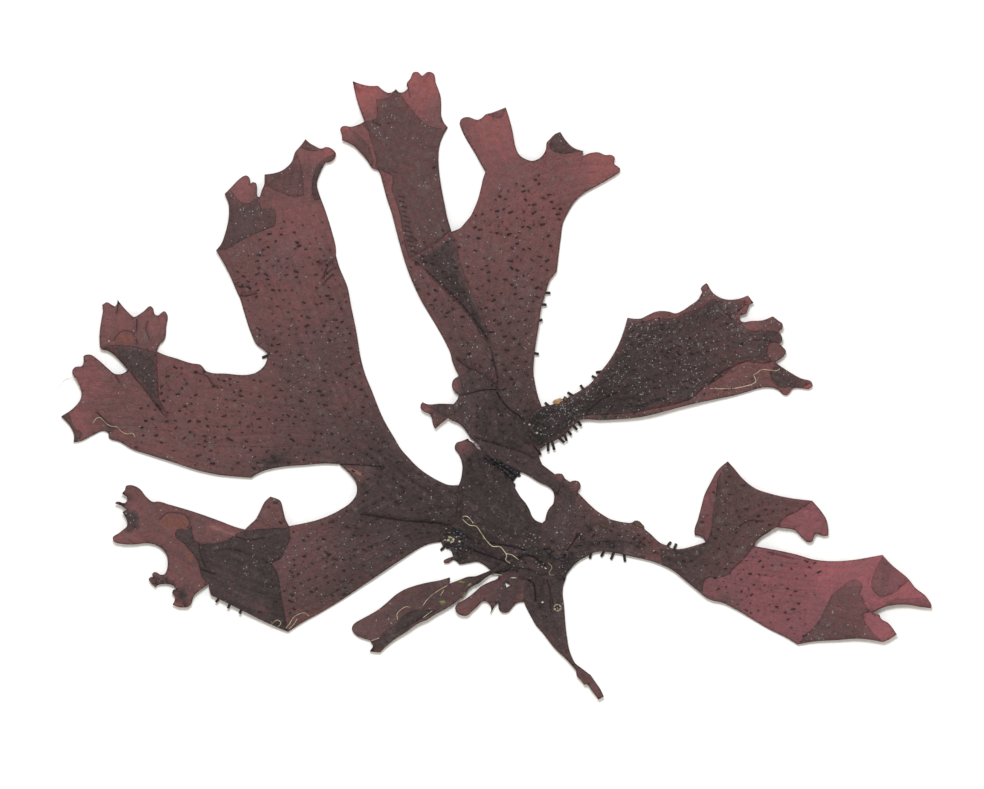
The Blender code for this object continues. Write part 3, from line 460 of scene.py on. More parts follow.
def add(tree, kind, inputs=(), **settings):
    """A node in a tree with its settings, and its inputs given a value or linked to another node's output."""
    node = tree.nodes.new(kind)
    for name, value in settings.items():
        setattr(node, name, value)
    for socket, value in dict(inputs).items():
        if isinstance(value, bpy.types.NodeSocket):
            tree.links.new(value, node.inputs[socket])
        else:
            node.inputs[socket].default_value = value
    return node


def surface(name):
    """A new material, its node tree, and the object's own coordinates in metres."""
    material = bpy.data.materials.new(name)
    material.use_nodes = True
    tree = material.node_tree
    return material, tree, add(tree, "ShaderNodeTexCoord").outputs["Object"]


def coat(tree, tint, relief, strength, height, settings):
    """Lays a colour and a relief on the tree's shader and sets its other inputs."""
    bump = add(tree, "ShaderNodeBump", {"Height": relief, "Strength": strength, "Distance": height})
    shader = tree.nodes["Principled BSDF"]
    for socket, value in settings.items():
        shader.inputs[socket].default_value = value
    tree.links.new(tint, shader.inputs["Base Color"])
    tree.links.new(bump.outputs["Normal"], shader.inputs["Normal"])


def dried_thallus(name, tints=THALLUS_TINTS, salt_and_glints=0.5):
    """Dried red-algal tissue: leathery, finely lined along the blade and puckered, with a dull sheen.

    Its tints run from the thinnest tissue at a tip to the thickest in the crown. Salt grains dried onto the
    thick parts, drawn as pale specks that are also painted glints, and the amount of them is a share from 0
    to 1.
    """
    material, tree, plane = surface(name)
    grain = add(tree, "ShaderNodeUVMap", uv_map="grain").outputs["UV"]
    tissue, crease, rim = (
        add(tree, "ShaderNodeAttribute", attribute_name=attribute).outputs["Fac"]
        for attribute in ("tissue", "crease", "rim")
    )
    drawn_out = add(tree, "ShaderNodeMapping", {
        "Vector": grain, "Scale": (1 / FIBRE_ACROSS, 1 / FIBRE_ALONG, 1),
    }).outputs[0]
    fibres = add(tree, "ShaderNodeTexNoise", {"Vector": drawn_out, "Scale": 1.0, "Detail": 4.0}).outputs[0]
    mottle, wrinkles, grit = (
        add(tree, "ShaderNodeTexNoise", {
            "Vector": plane, "Scale": 1 / size, "Detail": 5.0, "Roughness": 0.65, "Distortion": twist,
        }).outputs[0]
        for size, twist in ((MOTTLE, 0.6), (WRINKLE, 1.2), (GRIT, 0.0))
    )

    # Every pattern shifts the depth of the tissue, the fibres and wrinkles more where the blade is thick
    coarse = add(tree, "ShaderNodeMapRange", {
        "Value": tissue, "From Min": 0.35, "From Max": 0.75, "To Min": 0.6,
    }).outputs[0]
    depth = tissue
    for pattern, amount, everywhere in (
        (mottle, 0.28, True), (grit, 0.42, True), (fibres, 0.46, False), (wrinkles, 0.6, False),
    ):
        swing = add(tree, "ShaderNodeMath", {0: pattern, 1: 0.5}, operation="SUBTRACT").outputs[0]
        if not everywhere:
            swing = add(tree, "ShaderNodeMath", {0: swing, 1: coarse}, operation="MULTIPLY").outputs[0]
        depth = add(tree, "ShaderNodeMath", {
            0: swing, 1: amount, 2: depth,
        }, operation="MULTIPLY_ADD").outputs[0]
    ramp = add(tree, "ShaderNodeValToRGB", {"Fac": depth})
    stops = ramp.color_ramp.elements
    for position in (0.25, 0.5, 0.75):
        stops.new(position)
    for stop, tint in zip(stops, tints):
        stop.color = colour(tint)

    # Salt grains and painted glints: a pale speck in some of the cells of a fine pattern, in patches, on
    # thick tissue only
    cells = add(tree, "ShaderNodeTexVoronoi", {"Vector": plane, "Scale": 1 / SALT_GLINT_SPACING}).outputs
    chance = add(tree, "ShaderNodeSeparateColor", {"Color": cells["Color"]}).outputs
    patches = add(tree, "ShaderNodeMapRange", {
        "Value": mottle, "From Min": 0.42, "From Max": 0.62,
        "To Min": 1 - 0.14 * salt_and_glints**3, "To Max": 1 - 0.6 * salt_and_glints,
    }).outputs[0]
    girth = add(tree, "ShaderNodeMath", {0: chance["Green"], 1: 0.45}, operation="MULTIPLY").outputs[0]
    grains = 1.0
    for more, less in ((chance["Red"], patches), (girth, cells["Distance"]), (depth, SALT_GLINT_TISSUE)):
        here = add(tree, "ShaderNodeMath", {0: more, 1: less}, operation="GREATER_THAN").outputs[0]
        grains = add(tree, "ShaderNodeMath", {0: here, 1: grains}, operation="MULTIPLY").outputs[0]

    # Over the tissue: a grey haze, a painted highlight on the crests of the wrinkles, painted shade in the
    # creases, a dark margin line that is painted shade along turned-over edges, and salt grains with painted
    # glints
    haze = add(tree, "ShaderNodeMapRange", {
        "Value": mottle, "From Min": 0.5, "From Max": 0.75, "To Max": 0.35,
    }).outputs[0]
    # Painted highlight: the crests of the wrinkles are painted paler on thick tissue, as if lit from above
    crests = add(tree, "ShaderNodeMapRange", {
        "Value": wrinkles, "From Min": 0.53, "From Max": 0.72, "To Max": 0.45,
    }).outputs[0]
    crest_highlight = add(tree, "ShaderNodeMath", {0: crests, 1: coarse}, operation="MULTIPLY").outputs[0]
    # Painted shade: creases and ridges darken the tissue through the crease attribute. The rim darkens it
    # too, which is painted shade along a turned-over layer's edge.
    shadowed = add(tree, "ShaderNodeMath", {0: crease, 1: 0.95}, operation="MULTIPLY").outputs[0]
    margin_lines_and_shade = add(tree, "ShaderNodeMath", {0: rim, 1: 2.0}, operation="POWER").outputs[0]
    margin_lines_and_shade = add(tree, "ShaderNodeMath", {
        0: margin_lines_and_shade, 1: 0.8, 2: shadowed,
    }, operation="MULTIPLY_ADD", use_clamp=True).outputs[0]
    skin = ramp.outputs["Color"]
    for share, tint in ((haze, "74595E"), (crest_highlight, "85746F"), (margin_lines_and_shade, "211318"), (grains, "9CA19B")):
        skin = add(tree, "ShaderNodeMix", {
            "Factor": share, 6: skin, 7: colour(tint),
        }, data_type="RGBA").outputs[2]

    relief = wrinkles
    for pattern, amount in ((fibres, 0.8), (grit, 0.6)):
        relief = add(tree, "ShaderNodeMath", {
            0: pattern, 1: amount, 2: relief,
        }, operation="MULTIPLY_ADD").outputs[0]
    relief = add(tree, "ShaderNodeMath", {0: relief, 1: coarse}, operation="MULTIPLY").outputs[0]
    coat(tree, skin, relief, 1.0, RELIEF, {"Roughness": 0.5, "IOR": 1.42, "Specular IOR Level": 0.3})
    return material


crown, crown_ground = blade(
    "crown_blade",
    [
        flat_layer(CROWN_OUTLINE, CROWN_CREASES, swollen=0.00012),
        turned_over(CROWN_KNOT, KNOT_CREASES, dome=0.0006, deeper=0.04),
        turned_over(CROWN_CURLED_LOBE, LOBE_CREASES, dome=0.00035, deeper=0.0),
    ],
    CROWN_MIDRIBS, 0.49, CROWN_SPOTS, CROWN_STAINS_AND_SHADE, CROWN_BARE, knobs=0.0003,
)
crown.data.materials.append(dried_thallus("dried algal crown tissue", salt_and_glints=0.25))
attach(crown, "root")
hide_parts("crown")


# Left frond
# A broad leathery stalk that forked into three blades, pressed flat while wet.
# Its upper blade has turned-in shoulders, the middle one a long wedge fold, and the lower one is folded over.
LEFT_OUTLINE = [
    (101, 349), (99.5, 341), (99.5, 334), (102, 316), (103, 310), (102, 305, S), (107, 302), (112, 305),
    (115, 306.5), (117, 304), (117.5, 299.5, S), (122, 305.5), (126, 310), (130, 314), (134, 317),
    (139, 314.5), (144, 311), (150.5, 306), (153.5, 309), (154.5, 314), (158, 315.5), (161, 313),
    (164.5, 311), (167.5, 315), (166.5, 325), (163.5, 341), (160, 344), (158, 348), (157, 351.5, S),
    (165, 355), (175, 358), (193, 363.5), (200, 364.5), (206, 371, S), (210, 372.5), (225, 373.5),
    (249, 374.5), (255, 373), (260, 370), (264, 366), (268.5, 354, S), (264, 350), (257, 345),
    (251, 333), (245, 315), (240, 298, S), (237, 292), (232, 280), (223, 262), (216, 250.5, S),
    (220.5, 245), (225.5, 232), (228.5, 218), (229, 211), (228.5, 204), (224.5, 194, S), (230, 188.5),
    (240, 178.5), (243.5, 176), (247, 175.5), (250, 179), (250.5, 183.5, S), (253, 182), (256, 183),
    (257, 188), (257.5, 196), (258.5, 197), (262, 189.5), (264, 185), (264.5, 174.5, S), (275, 173),
    (281, 171), (287, 167), (291.5, 162), (295.5, 151.5), (300, 146.5), (305.5, 139, S), (309, 142.5),
    (314, 145.5), (322, 148.5), (325.5, 147), (334, 150.5), (336, 153.5), (335, 158), (329, 162.5),
    (325.5, 162.5, S), (321, 171), (317, 185), (319, 193), (324.5, 208), (331.5, 230), (336, 250),
    (336, 255.5, S), (339, 266), (347.5, 287), (351, 305), (356.5, 332), (361.5, 361), (364.5, 372),
    (372, 391), (384, 420), (395, 439), (401, 449), (408, 457), (420, 469), (430, 476), (440, 481.5),
    (447, 484.5), (463, 485, S), (463, 505), (460, 522),
    (452, 533), (446, 541, S), (426, 545), (410, 554), (400, 560.5), (380, 574),
    (360, 587.5), (340, 601), (320, 613), (300, 624), (288, 632, S), (275, 626.5), (261, 620),
    (245, 612), (230, 604.5), (216, 597.5), (211, 595), (209.5, 590), (208.5, 584, S), (201, 589.5),
    (194, 596), (192.5, 600), (191, 604.5), (188, 607), (183, 607.5), (178, 607), (172.5, 604.5, S),
    (174.8, 600), (174.5, 596), (172, 593), (173, 590), (176, 589), (175, 587), (168, 584), (163, 584),
    (158, 585), (155.5, 587.5, S), (150, 582), (148.5, 579), (150.5, 577), (153, 577), (152, 574),
    (154, 572), (157, 572.5), (160, 574.5), (164, 574.5), (167, 569), (167.7, 562), (167, 556),
    (161, 548), (156, 545), (150, 543.5), (131, 544.5), (122, 544), (113.5, 541), (112.5, 538),
    (119, 533), (124, 529), (127, 526), (127, 521), (125, 516), (122.5, 512), (127, 510, S),
    (121, 505.5), (115, 503), (117, 501.5), (125, 503), (127, 501), (126.5, 496.5), (122, 493.5),
    (125, 490), (126, 486), (130, 485), (136, 486.5), (140, 489), (146, 496.5), (154, 502), (157, 501.5),
    (169, 504.5), (193, 511.5), (216, 519.5), (239, 528), (245, 529.5, S), (251, 523.5), (255, 520),
    (260, 511), (265, 501.5), (270.5, 496.5, S), (280.5, 501), (283, 509), (285.5, 519), (289, 526, S),
    (300, 524), (320, 519), (338, 511), (352, 501), (356, 495), (357, 489), (356, 483), (349, 473),
    (339, 464, S), (325, 463.5), (305, 465), (285, 466.5), (265, 470.5), (257, 474), (251, 477.8, S),
    (235, 476.5), (220, 475), (190, 468), (180, 464.5), (150, 455), (132, 449), (120, 442), (108.5, 437),
    (108.5, 433), (104, 431), (93, 435), (81, 441), (73.5, 442.5, S), (74, 435), (70, 426),
    (61, 416.5, S), (73.5, 408), (80.5, 399), (81.5, 393), (77, 382), (72.5, 370), (75, 367), (82, 366),
    (83.8, 361), (83.5, 356), (89.5, 354.5), (98, 359.5), (108, 368.5), (115.5, 374), (124, 373),
    (128, 370, S), (120, 361), (114, 355), (108, 351),
]

LEFT_WEDGE = [
    (103, 347, S), (112, 345), (125, 345.5), (133, 346), (145, 349), (156.5, 352.5, S), (157.5, 370),
    (158, 385), (160, 400), (165, 410), (172, 421, S), (167, 418), (159, 410), (150, 398), (142, 387),
    (135, 379), (127.5, 369), (120, 360), (114, 354), (108, 350), (102, 348.5),
]

LEFT_SHOULDER = [
    (217.5, 250, S), (221.5, 245), (226.5, 232), (229.5, 218), (229.8, 204), (225.5, 193.8, S),
    (229, 190), (236, 197), (243, 203), (250, 203), (256, 199), (258, 201), (262, 208), (275, 210),
    (276, 217), (275, 226, S), (262, 231), (250, 236), (237, 243), (225, 249.5),
]

LEFT_NOTCH = [
    (265.3, 175.5, S), (275, 174), (281, 172), (288, 168), (292.5, 163), (296.5, 153, S), (301, 165),
    (303, 180), (304, 195, S), (295, 197), (280, 192), (270, 187), (265, 181),
]

LEFT_TIP = [(300.5, 147.5, S), (305.5, 140.5, S), (310, 144.5), (323, 149.5, S), (312, 151)]

LEFT_CURL = [
    (335, 154, S), (334, 157.5), (329, 161.5), (324.8, 161.8, S), (320, 171), (316, 185), (318, 193),
    (321, 199, S), (315, 200), (312, 190), (313, 178), (318, 165), (325, 158),
]

LEFT_HEM = [
    (62.5, 416.5, S), (69, 413, S), (72, 422), (76, 429), (82, 433), (78.5, 441, S), (74.7, 441.5, S),
    (75, 435), (71, 426),
]

LEFT_TURNOVER = [
    (245.5, 530.5, S), (260, 529), (275, 528), (289.5, 527.5, S), (289.5, 540), (286, 548), (280, 559),
    (271, 563, S), (275, 568), (278, 575), (280, 585), (282, 600), (285, 615), (287.5, 630.5, S),
    (275, 625.3), (261, 618.8), (245, 610.8), (230, 603.3), (216, 596.3), (212, 594), (210.5, 589),
    (208.5, 583, S), (204, 580), (201, 574), (197, 560), (193, 554), (187, 547), (181, 541), (176, 538),
    (175.5, 532), (178, 529), (183, 529), (187, 530), (192, 525, S), (193, 536), (196, 541),
    (201, 543.5), (207, 543.5), (216, 543), (225, 541), (238, 533),
]

LEFT_CREASES = [
    (0.0003, [(361, 511.5), (385, 515.5), (410, 519), (440.5, 521.3), (452, 524), (460, 525.5)]),
    (-0.0003, [(361, 513.8), (385, 517.8), (410, 521.3), (440.5, 523.6), (452, 526.5)]),
    (-0.0003, [(339, 464), (350, 464.5), (370, 465.5), (382, 467)]),
    (-0.00015, [(200, 374), (207, 376), (212, 384), (217, 387)]),
    (-0.0003, [(98, 413), (104, 420), (110, 427)]),
    (-0.0002, [(114, 374), (117, 378), (119, 381.5)]),
    (-0.0002, [(117.5, 300), (118, 306), (117, 312)]),
    (-0.0002, [(137, 319), (136.5, 330)]),
    (-0.00012, [(148, 321), (146, 330), (149, 338)]),
    (-0.0002, [(323, 277), (327, 268), (331, 262), (335.5, 258.5)]),
    (-0.0002, [(320, 264), (326, 260.5), (333, 263)]),
    (0.0002, [(321, 266), (327, 262.5), (333, 265)]),
    (-0.0002, [(325, 276), (331, 270), (336, 268)]),
    (-0.0002, [(326, 281), (331, 276)]),
    (-0.00018, [(234, 283), (240, 287), (248, 286.5)]),
    (0.00018, [(237, 289), (244, 292), (255, 291.5)]),
    (-0.00018, [(239, 295), (246, 296), (256, 293.5)]),
    (0.00015, [(330, 289), (338, 286.5), (346, 286)]),
    (-0.00012, [(160, 519), (166, 513.5), (176, 512.5), (186, 516), (190, 523), (188, 528)]),
    (-0.00012, [(114, 340), (119, 333), (127, 330.5), (134, 334), (137, 341)]),
    (0.00015, [(395, 470), (415, 482), (440, 493)]),
    (0.00012, [(380, 452), (400, 470), (425, 488), (450, 500)]),
    (0.00012, [(390, 498), (420, 503), (450, 508)]),
]
WEDGE_CREASES = [
    (-0.0003, [
        (101, 348), (112, 352.5), (121.7, 361.7), (128.3, 370.8), (141.7, 385.8), (155, 402.5), (168, 418.5),
    ]),
]
TURNOVER_CREASES = [
    (-0.0003, [(203, 570), (209, 572.5), (215, 574)]), (-0.0002, [(199, 545), (201, 556), (205, 566)]),
    (0.0002, [(203, 544), (205, 556), (209, 568)]), (-0.0004, [(268, 562), (273, 561), (279, 558)]),
    (-0.00025, [(236, 537), (250, 540), (262, 538)]), (-0.00015, [(215, 551), (226, 549), (240, 551)]),
]
LEFT_MIDRIBS = [
    [(470, 505), (420, 480), (385, 440), (352, 390), (332, 330), (310, 270), (292, 215), (300, 150)],
    [(470, 505), (420, 480), (340, 430), (260, 420), (180, 410), (120, 400), (80, 400)],
    [(470, 505), (340, 430), (180, 410), (150, 370), (135, 325)],
    [(470, 505), (400, 522), (340, 555), (280, 580), (220, 560), (150, 525), (120, 505)],
]
LEFT_SPOTS = [
    (113, 310, 34, -0.1), (156, 318, 30, -0.1), (80, 378, 40, -0.14), (76, 425, 26, -0.14),
    (243, 186, 26, -0.2), (325, 153, 22, -0.22), (304, 150, 22, -0.14), (125, 495, 36, -0.12),
    (165, 596, 30, -0.16), (268, 508, 24, -0.1), (120, 535, 30, -0.12), (296, 225, 50, -0.1),
    (358, 396, 44, -0.07), (310, 545, 60, -0.12), (182, 592, 16, 0.12), (262, 609, 14, -0.18),
    (246, 600, 10, -0.1), (276, 470, 28, 0.3), (126, 491, 24, 0.2), (292, 368, 30, 0.07),
    (262, 346, 26, 0.09), (228, 270, 14, 0.09), (324, 352, 22, 0.06), (258, 530, 26, -0.09),
    (370, 552, 24, -0.1),
]
LEFT_STAINS = [
    ([(123.5, 511), (133, 512), (137, 520), (135, 529), (126, 531), (128, 524)], 0.42),
    ([(152, 576), (160, 577), (169, 580), (172, 584), (163, 584), (157, 585)], 0.42),
    ([(174, 590), (186, 588), (188, 596), (186, 604), (178, 599)], 0.36),
    ([
        (160, 519), (166, 513.5), (176, 512.5), (186, 516), (190, 523), (188, 529), (176, 531), (165, 527),
    ], -0.05),
    ([(205, 524), (222, 523), (240, 529), (240, 538), (222, 534), (206, 531)], -0.14),
    ([(345, 467), (370, 466), (372, 477), (352, 481)], -0.12),
    ([(180, 547), (192, 552), (198, 562), (190, 566), (182, 560)], 0.06),
    ([(105, 426), (117, 427), (111, 433), (109, 437)], 0.25),
]
LEFT_BARE = [(288, 163, 58), (238, 212, 40), (135, 330, 62), (95, 400, 50), (150, 545, 100), (240, 560, 55)]

left, left_ground = blade(
    "left_frond_blade",
    [
        flat_layer(LEFT_OUTLINE, LEFT_CREASES), turned_over(LEFT_WEDGE, WEDGE_CREASES, soft=0.0006),
        turned_over(LEFT_SHOULDER, deeper=0.2), turned_over(LEFT_NOTCH, deeper=0.09),
        turned_over(LEFT_TIP, deeper=0.2), turned_over(LEFT_CURL, deeper=0.25),
        turned_over(LEFT_HEM, deeper=0.25), turned_over(LEFT_TURNOVER, TURNOVER_CREASES),
    ],
    LEFT_MIDRIBS, 0.44, LEFT_SPOTS, LEFT_STAINS, LEFT_BARE,
)
left.data.materials.append(dried_thallus("dried algal blade, mauve", salt_and_glints=0.2))
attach(left, "root")
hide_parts("frond_left")


# Top frond
# Two forked blades on one stalk that bends down beside the crown as a broad band.
# The left blade was doubled lengthwise in the press and crosses over the right one, three layers thick there.
TOP_OUTLINE = [
    (352.5, 81, S), (360, 83.8), (370, 85.9), (378, 85.8, S), (382.5, 89.8), (388.5, 92.9),
    (391.5, 92.6), (396, 89, S), (399, 92.3), (403, 92.3), (408, 88.5, S), (406.5, 84.4), (410.5, 78.3),
    (413.5, 72.2), (418, 72), (422, 75.8), (427, 72.2), (431, 72), (433.5, 73.4), (435.7, 82.5),
    (439, 91), (440.5, 96), (441.2, 108), (441.2, 115), (444, 122.7), (447.8, 127.4, S), (442.7, 136.7),
    (440, 144), (438.5, 160), (440, 178), (445, 206), (447, 216), (451.5, 231.7, S), (460.5, 227.8),
    (465.6, 222), (470.8, 215.6), (474, 209), (478, 199), (481, 187.4), (483, 178.5), (485.5, 171.7, S),
    (481, 164.4), (477, 157), (461.2, 128.5), (459.5, 123.3), (460.5, 120), (463.7, 117.6), (467.6, 117),
    (478.5, 119.7), (482.3, 117.6), (485.5, 114.4), (491, 113), (505.8, 107.3, S), (509.2, 118),
    (513, 133.6), (514.5, 142.6), (516.7, 150.3), (520, 155.4), (524.6, 158.6), (532.9, 160.8),
    (541.3, 156.7), (546.2, 147.7), (546.4, 143.2), (550.3, 138.7), (554.7, 134.2), (560.3, 131.7, S),
    (565.6, 140), (574.6, 148.3), (583.3, 151, S), (582.3, 156.5, S), (587, 154), (590.6, 153),
    (599, 152.4), (605, 155), (611.8, 155), (614.7, 157.3), (614, 164), (617.6, 166.3), (620, 168.2),
    (620, 171.4), (616.3, 174.6), (609, 179), (595, 187), (585, 192.6), (576, 200.3), (567, 214.4),
    (563, 223.3), (561.2, 235), (558.6, 255.4), (556.7, 271.5, S), (553.2, 276), (550.3, 279.4),
    (548, 284.6), (545, 295), (541, 309), (538.8, 325), (536, 342), (533.6, 364), (533.4, 371),
    (534.5, 380), (539.1, 399.4), (542, 407, S), (543, 425), (540.5, 445), (539.3, 457),
    (542.3, 464.6, S), (550.5, 470.8), (554.8, 474.2, S), (558.5, 473.4), (562, 473.8), (565, 478.5),
    (570, 481.8, S), (573.1, 480.7), (578, 481), (580.4, 484), (580.2, 488), (578, 491, S), (577, 497),
    (576.5, 510), (575, 531), (571.5, 541), (565.5, 548), (561, 555), (557.5, 557), (553.5, 551.5),
    (549, 549.5), (540, 549), (538, 535, S), (541, 524, S), (545, 520.5, S), (546.9, 512.8), (549.5, 507.7),
    (553, 504), (554, 499.5), (554, 494.4), (552, 489.7), (547.4, 486.2), (540.3, 482.6), (526, 473.8),
    (519.7, 471), (505.4, 464.6), (498.2, 460.5), (490, 456.4), (481.8, 450.3), (476.7, 442),
    (470.5, 438, S), (466.4, 431.8), (463.3, 427.7), (459, 423.6), (451, 420), (448, 418, S),
    (441.8, 423), (435.3, 428.9, S), (433.4, 426), (431.5, 417.4), (430, 414.4), (423.3, 411.3),
    (420.3, 408), (420.6, 404.6), (422.5, 402, S), (425, 403.4), (441, 403.6), (453.5, 404, S),
    (457.2, 399.5), (458.9, 395, S), (453.6, 390.8), (452, 387), (452, 383), (453.6, 379.5),
    (459, 376, S), (454.6, 367.6), (451.7, 359.6), (450.6, 353.8), (446.5, 344.6), (435, 323.8),
    (428, 312.3), (420, 298.4), (413, 283.4), (404.4, 260.4), (401, 248.8), (393.3, 219.6), (391, 211),
    (387.2, 200), (381.8, 180), (379.9, 173.3), (378, 170, S), (372, 168), (367.8, 161.7),
    (359.2, 151.3), (354.4, 146.5), (348.3, 143), (342, 140.3, S), (341.6, 133.7), (340, 130),
    (341.6, 126.7), (345.2, 125.8), (349.5, 126.7), (358, 124.8), (364.5, 121.5, S), (359.2, 107.5),
    (356.2, 97.8),
]

TOP_DOUBLED = [
    (376, 99.3, S), (382.4, 99.2), (388, 97.5), (391.5, 94.7), (396, 90, S), (401.3, 95.3),
    (405.5, 101.4), (415.3, 113.6), (420, 119), (426.2, 124.6), (432.3, 127), (439.6, 128.2),
    (446.5, 127.8, S), (441.7, 136.7), (439, 144), (437.5, 160), (439, 178), (444, 206), (446, 216),
    (450.3, 231, S), (440, 240), (430, 247), (419, 253), (408.5, 258, S), (405.5, 247.6), (403, 234),
    (398.2, 208.6), (394.6, 197.6), (391.5, 189), (392.7, 182), (391.5, 175.7, S), (381.2, 170.2),
    (374.5, 166.5, S), (376, 163.5), (374.5, 152.6), (370.2, 138), (367.8, 130.6), (363, 124.6),
    (366, 121.5, S), (376.3, 118.5, S), (376.9, 108.7),
]

TOP_EAR = [
    (343, 139.5, S), (343.4, 132), (348.3, 129.7), (353, 130.6), (364, 140.4), (368.4, 145.3),
    (371, 152.6), (373.2, 163.5), (372, 166.8, S), (368.8, 161.7), (360.2, 151.3), (355, 145.8),
    (348.8, 142),
]

TOP_CROSSING = [
    (451.5, 232.8, S), (456.3, 240.8), (458.6, 254.6), (463.8, 272), (468.4, 284.6), (477.7, 305.4),
    (485.7, 323.8), (492, 344, S), (488, 342.3), (473, 322), (459.2, 304.8), (446.5, 292.7),
    (430.4, 276.5), (415.4, 262.7), (408.8, 258.6, S), (419, 253.6), (430, 247.6), (440, 240.6),
]

TOP_TIP_LEFT = [
    (487.4, 115, S), (492, 114), (505, 109, S), (504.7, 113), (501.5, 117.6), (497.7, 118.2),
    (492.6, 116.5),
]

TOP_TIP_RIGHT = [
    (551, 139.6, S), (555, 135.4), (560, 133, S), (564.8, 141), (573.8, 149.3), (580.5, 151.2, S),
    (572, 152.8), (563, 154), (555.4, 152.2), (550.5, 149.6), (549.3, 144),
]

TOP_ELBOW = [
    (459.8, 377, S), (465, 373), (473, 369), (482, 374.5), (491.5, 380.5), (497.5, 386), (496, 389, S),
    (489, 389.2), (480, 390.3), (471.5, 392.5), (464, 393.8, S), (461.5, 386),
]

TOP_FINGER = [
    (424, 404.4, S), (441, 404.6), (453.5, 405), (460, 404), (467, 402.6, S), (461, 408), (454, 413.5),
    (447, 416.8), (441, 414.2), (435.6, 411.3), (430, 408),
]

TOP_BAND = [
    (473, 440, S), (487, 441.5), (497.2, 444.5), (507.4, 448.5), (520.8, 452), (533, 458), (541, 464.5),
    (550, 471.5), (556, 478), (560, 487), (558, 495, S), (553.5, 491), (548.5, 486.8), (540.5, 483.2),
    (526.3, 474.5), (520, 471.7), (505.6, 465.3), (498.5, 461.2), (490.3, 457), (482.3, 451),
    (477.2, 443.5),
]

TOP_CREASES = [
    (0.0003, [(457.5, 356.7), (465, 362.4), (473, 368.2), (482.3, 374), (491.5, 379.7), (497.8, 385)]),
    (-0.00025, [(457, 359), (464.4, 364.8), (472.4, 370.6), (481.7, 376.4), (490.9, 382), (496.5, 386)]),
    (-0.0003, [(495.6, 389.7), (500.3, 397.9), (507.4, 407.2), (515.6, 413.3), (523.8, 419.5)]),
    (-0.0002, [(475.6, 437.5), (487, 442), (497.2, 445), (507.4, 449), (520.8, 452.3), (533, 458.5)]),
    (-0.0002, [(490, 347), (494, 362), (497, 375), (497.8, 385)]),
    (0.00012, [(366, 126), (371, 124), (376, 127), (386, 124.5)]),
    (-0.0002, [(460.3, 394.7), (465.4, 394.9), (471.5, 392.8), (479.7, 390.5), (489, 389.4), (496.7, 389.2)]),
    (0.0001, [(541, 158), (545.8, 164)]),
    (0.0001, [(582, 158), (580, 164)]),
    (0.00015, [(396, 172), (404, 180), (412, 189)]),
    (-0.00012, [(408, 86), (410, 97)]),
    (0.0001, [(356, 87), (364, 90), (377, 87)]),
]
DOUBLED_CREASES = [   # a row of short nicks along the doubled margin, and two soft lines
    *((-0.0002, [(0.22 * y + 355.5, y), (0.22 * y + 359.5, y + 1)]) for y in range(196, 252, 5)),
    (-0.00015, [(372, 121), (380, 125), (390, 123)]), (0.00012, [(382, 168), (396, 172), (410, 186)]),
]
CROSSING_CREASES = [
    (-0.0003, [
        (411, 258.5), (423.7, 268), (440, 282.8), (454.5, 296.6), (467.8, 311), (480.5, 328.4), (489, 341),
    ]),
    (0.00012, [(420, 250), (436, 262), (446, 275), (458, 291)]),
]
TOP_STAINS = [([
    (497, 391), (500.3, 398), (507.4, 407), (515.6, 413), (523.8, 419.5), (528, 430), (527, 445),
    (515, 450), (497, 446), (482, 440), (476, 434), (477, 420), (479, 405), (484, 392),
], 0.1)]
TOP_MIDRIBS = [
    [(565, 545), (566, 495), (540, 473), (500, 448), (490, 420), (497, 380), (503, 330), (512, 260),
     (520, 190), (497, 125)],
    [(565, 545), (566, 495), (540, 473), (500, 448), (503, 330), (520, 190), (560, 165), (612, 160)],
    [(500, 448), (490, 400), (470, 330), (440, 265), (420, 210), (405, 150), (424, 85)],
    [(440, 265), (420, 210), (400, 150), (362, 95)],
]
TOP_SPOTS = [
    (425, 82, 44, -0.26), (362, 90, 34, -0.3), (346, 132, 18, -0.2), (500, 118, 54, -0.2),
    (606, 163, 46, -0.18), (560, 138, 20, -0.1), (426, 408, 14, -0.3), (558, 476, 8, -0.3),
    (577, 485, 8, -0.3), (454, 386, 9, -0.3), (436, 424, 10, -0.2), (590, 498, 10, -0.15),
    (468, 450, 16, -0.12), (548, 446, 14, 0.16), (566, 206, 16, 0.08), (520, 190, 34, -0.05),
    (500, 418, 16, -0.08),
]
TOP_BARE = [
    (398, 108, 74), (500, 120, 68), (600, 165, 62), (445, 398, 30), (545, 490, 18), (563, 515, 26),
    (410, 205, 36),
]

top, top_ground = blade(
    "top_frond_blade",
    [
        flat_layer(TOP_OUTLINE, TOP_CREASES, swollen=0.00006),
        turned_over(TOP_DOUBLED, DOUBLED_CREASES, deeper=0.17), turned_over(TOP_EAR, deeper=0.15),
        turned_over(TOP_CROSSING, CROSSING_CREASES, layers=1.3, deeper=0.36, edge=0.0, soft=0.001),
        turned_over(TOP_TIP_LEFT, deeper=0.2), turned_over(TOP_TIP_RIGHT),
        turned_over(TOP_ELBOW, deeper=0.05),
        turned_over(TOP_FINGER, deeper=0.1), turned_over(TOP_BAND, layers=2, deeper=0.04),
    ],
    TOP_MIDRIBS, 0.38, TOP_SPOTS, TOP_STAINS, TOP_BARE,
)
top.data.materials.append(dried_thallus("dried algal blade, brown mauve", salt_and_glints=0.25))
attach(top, "root")
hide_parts("frond_top")


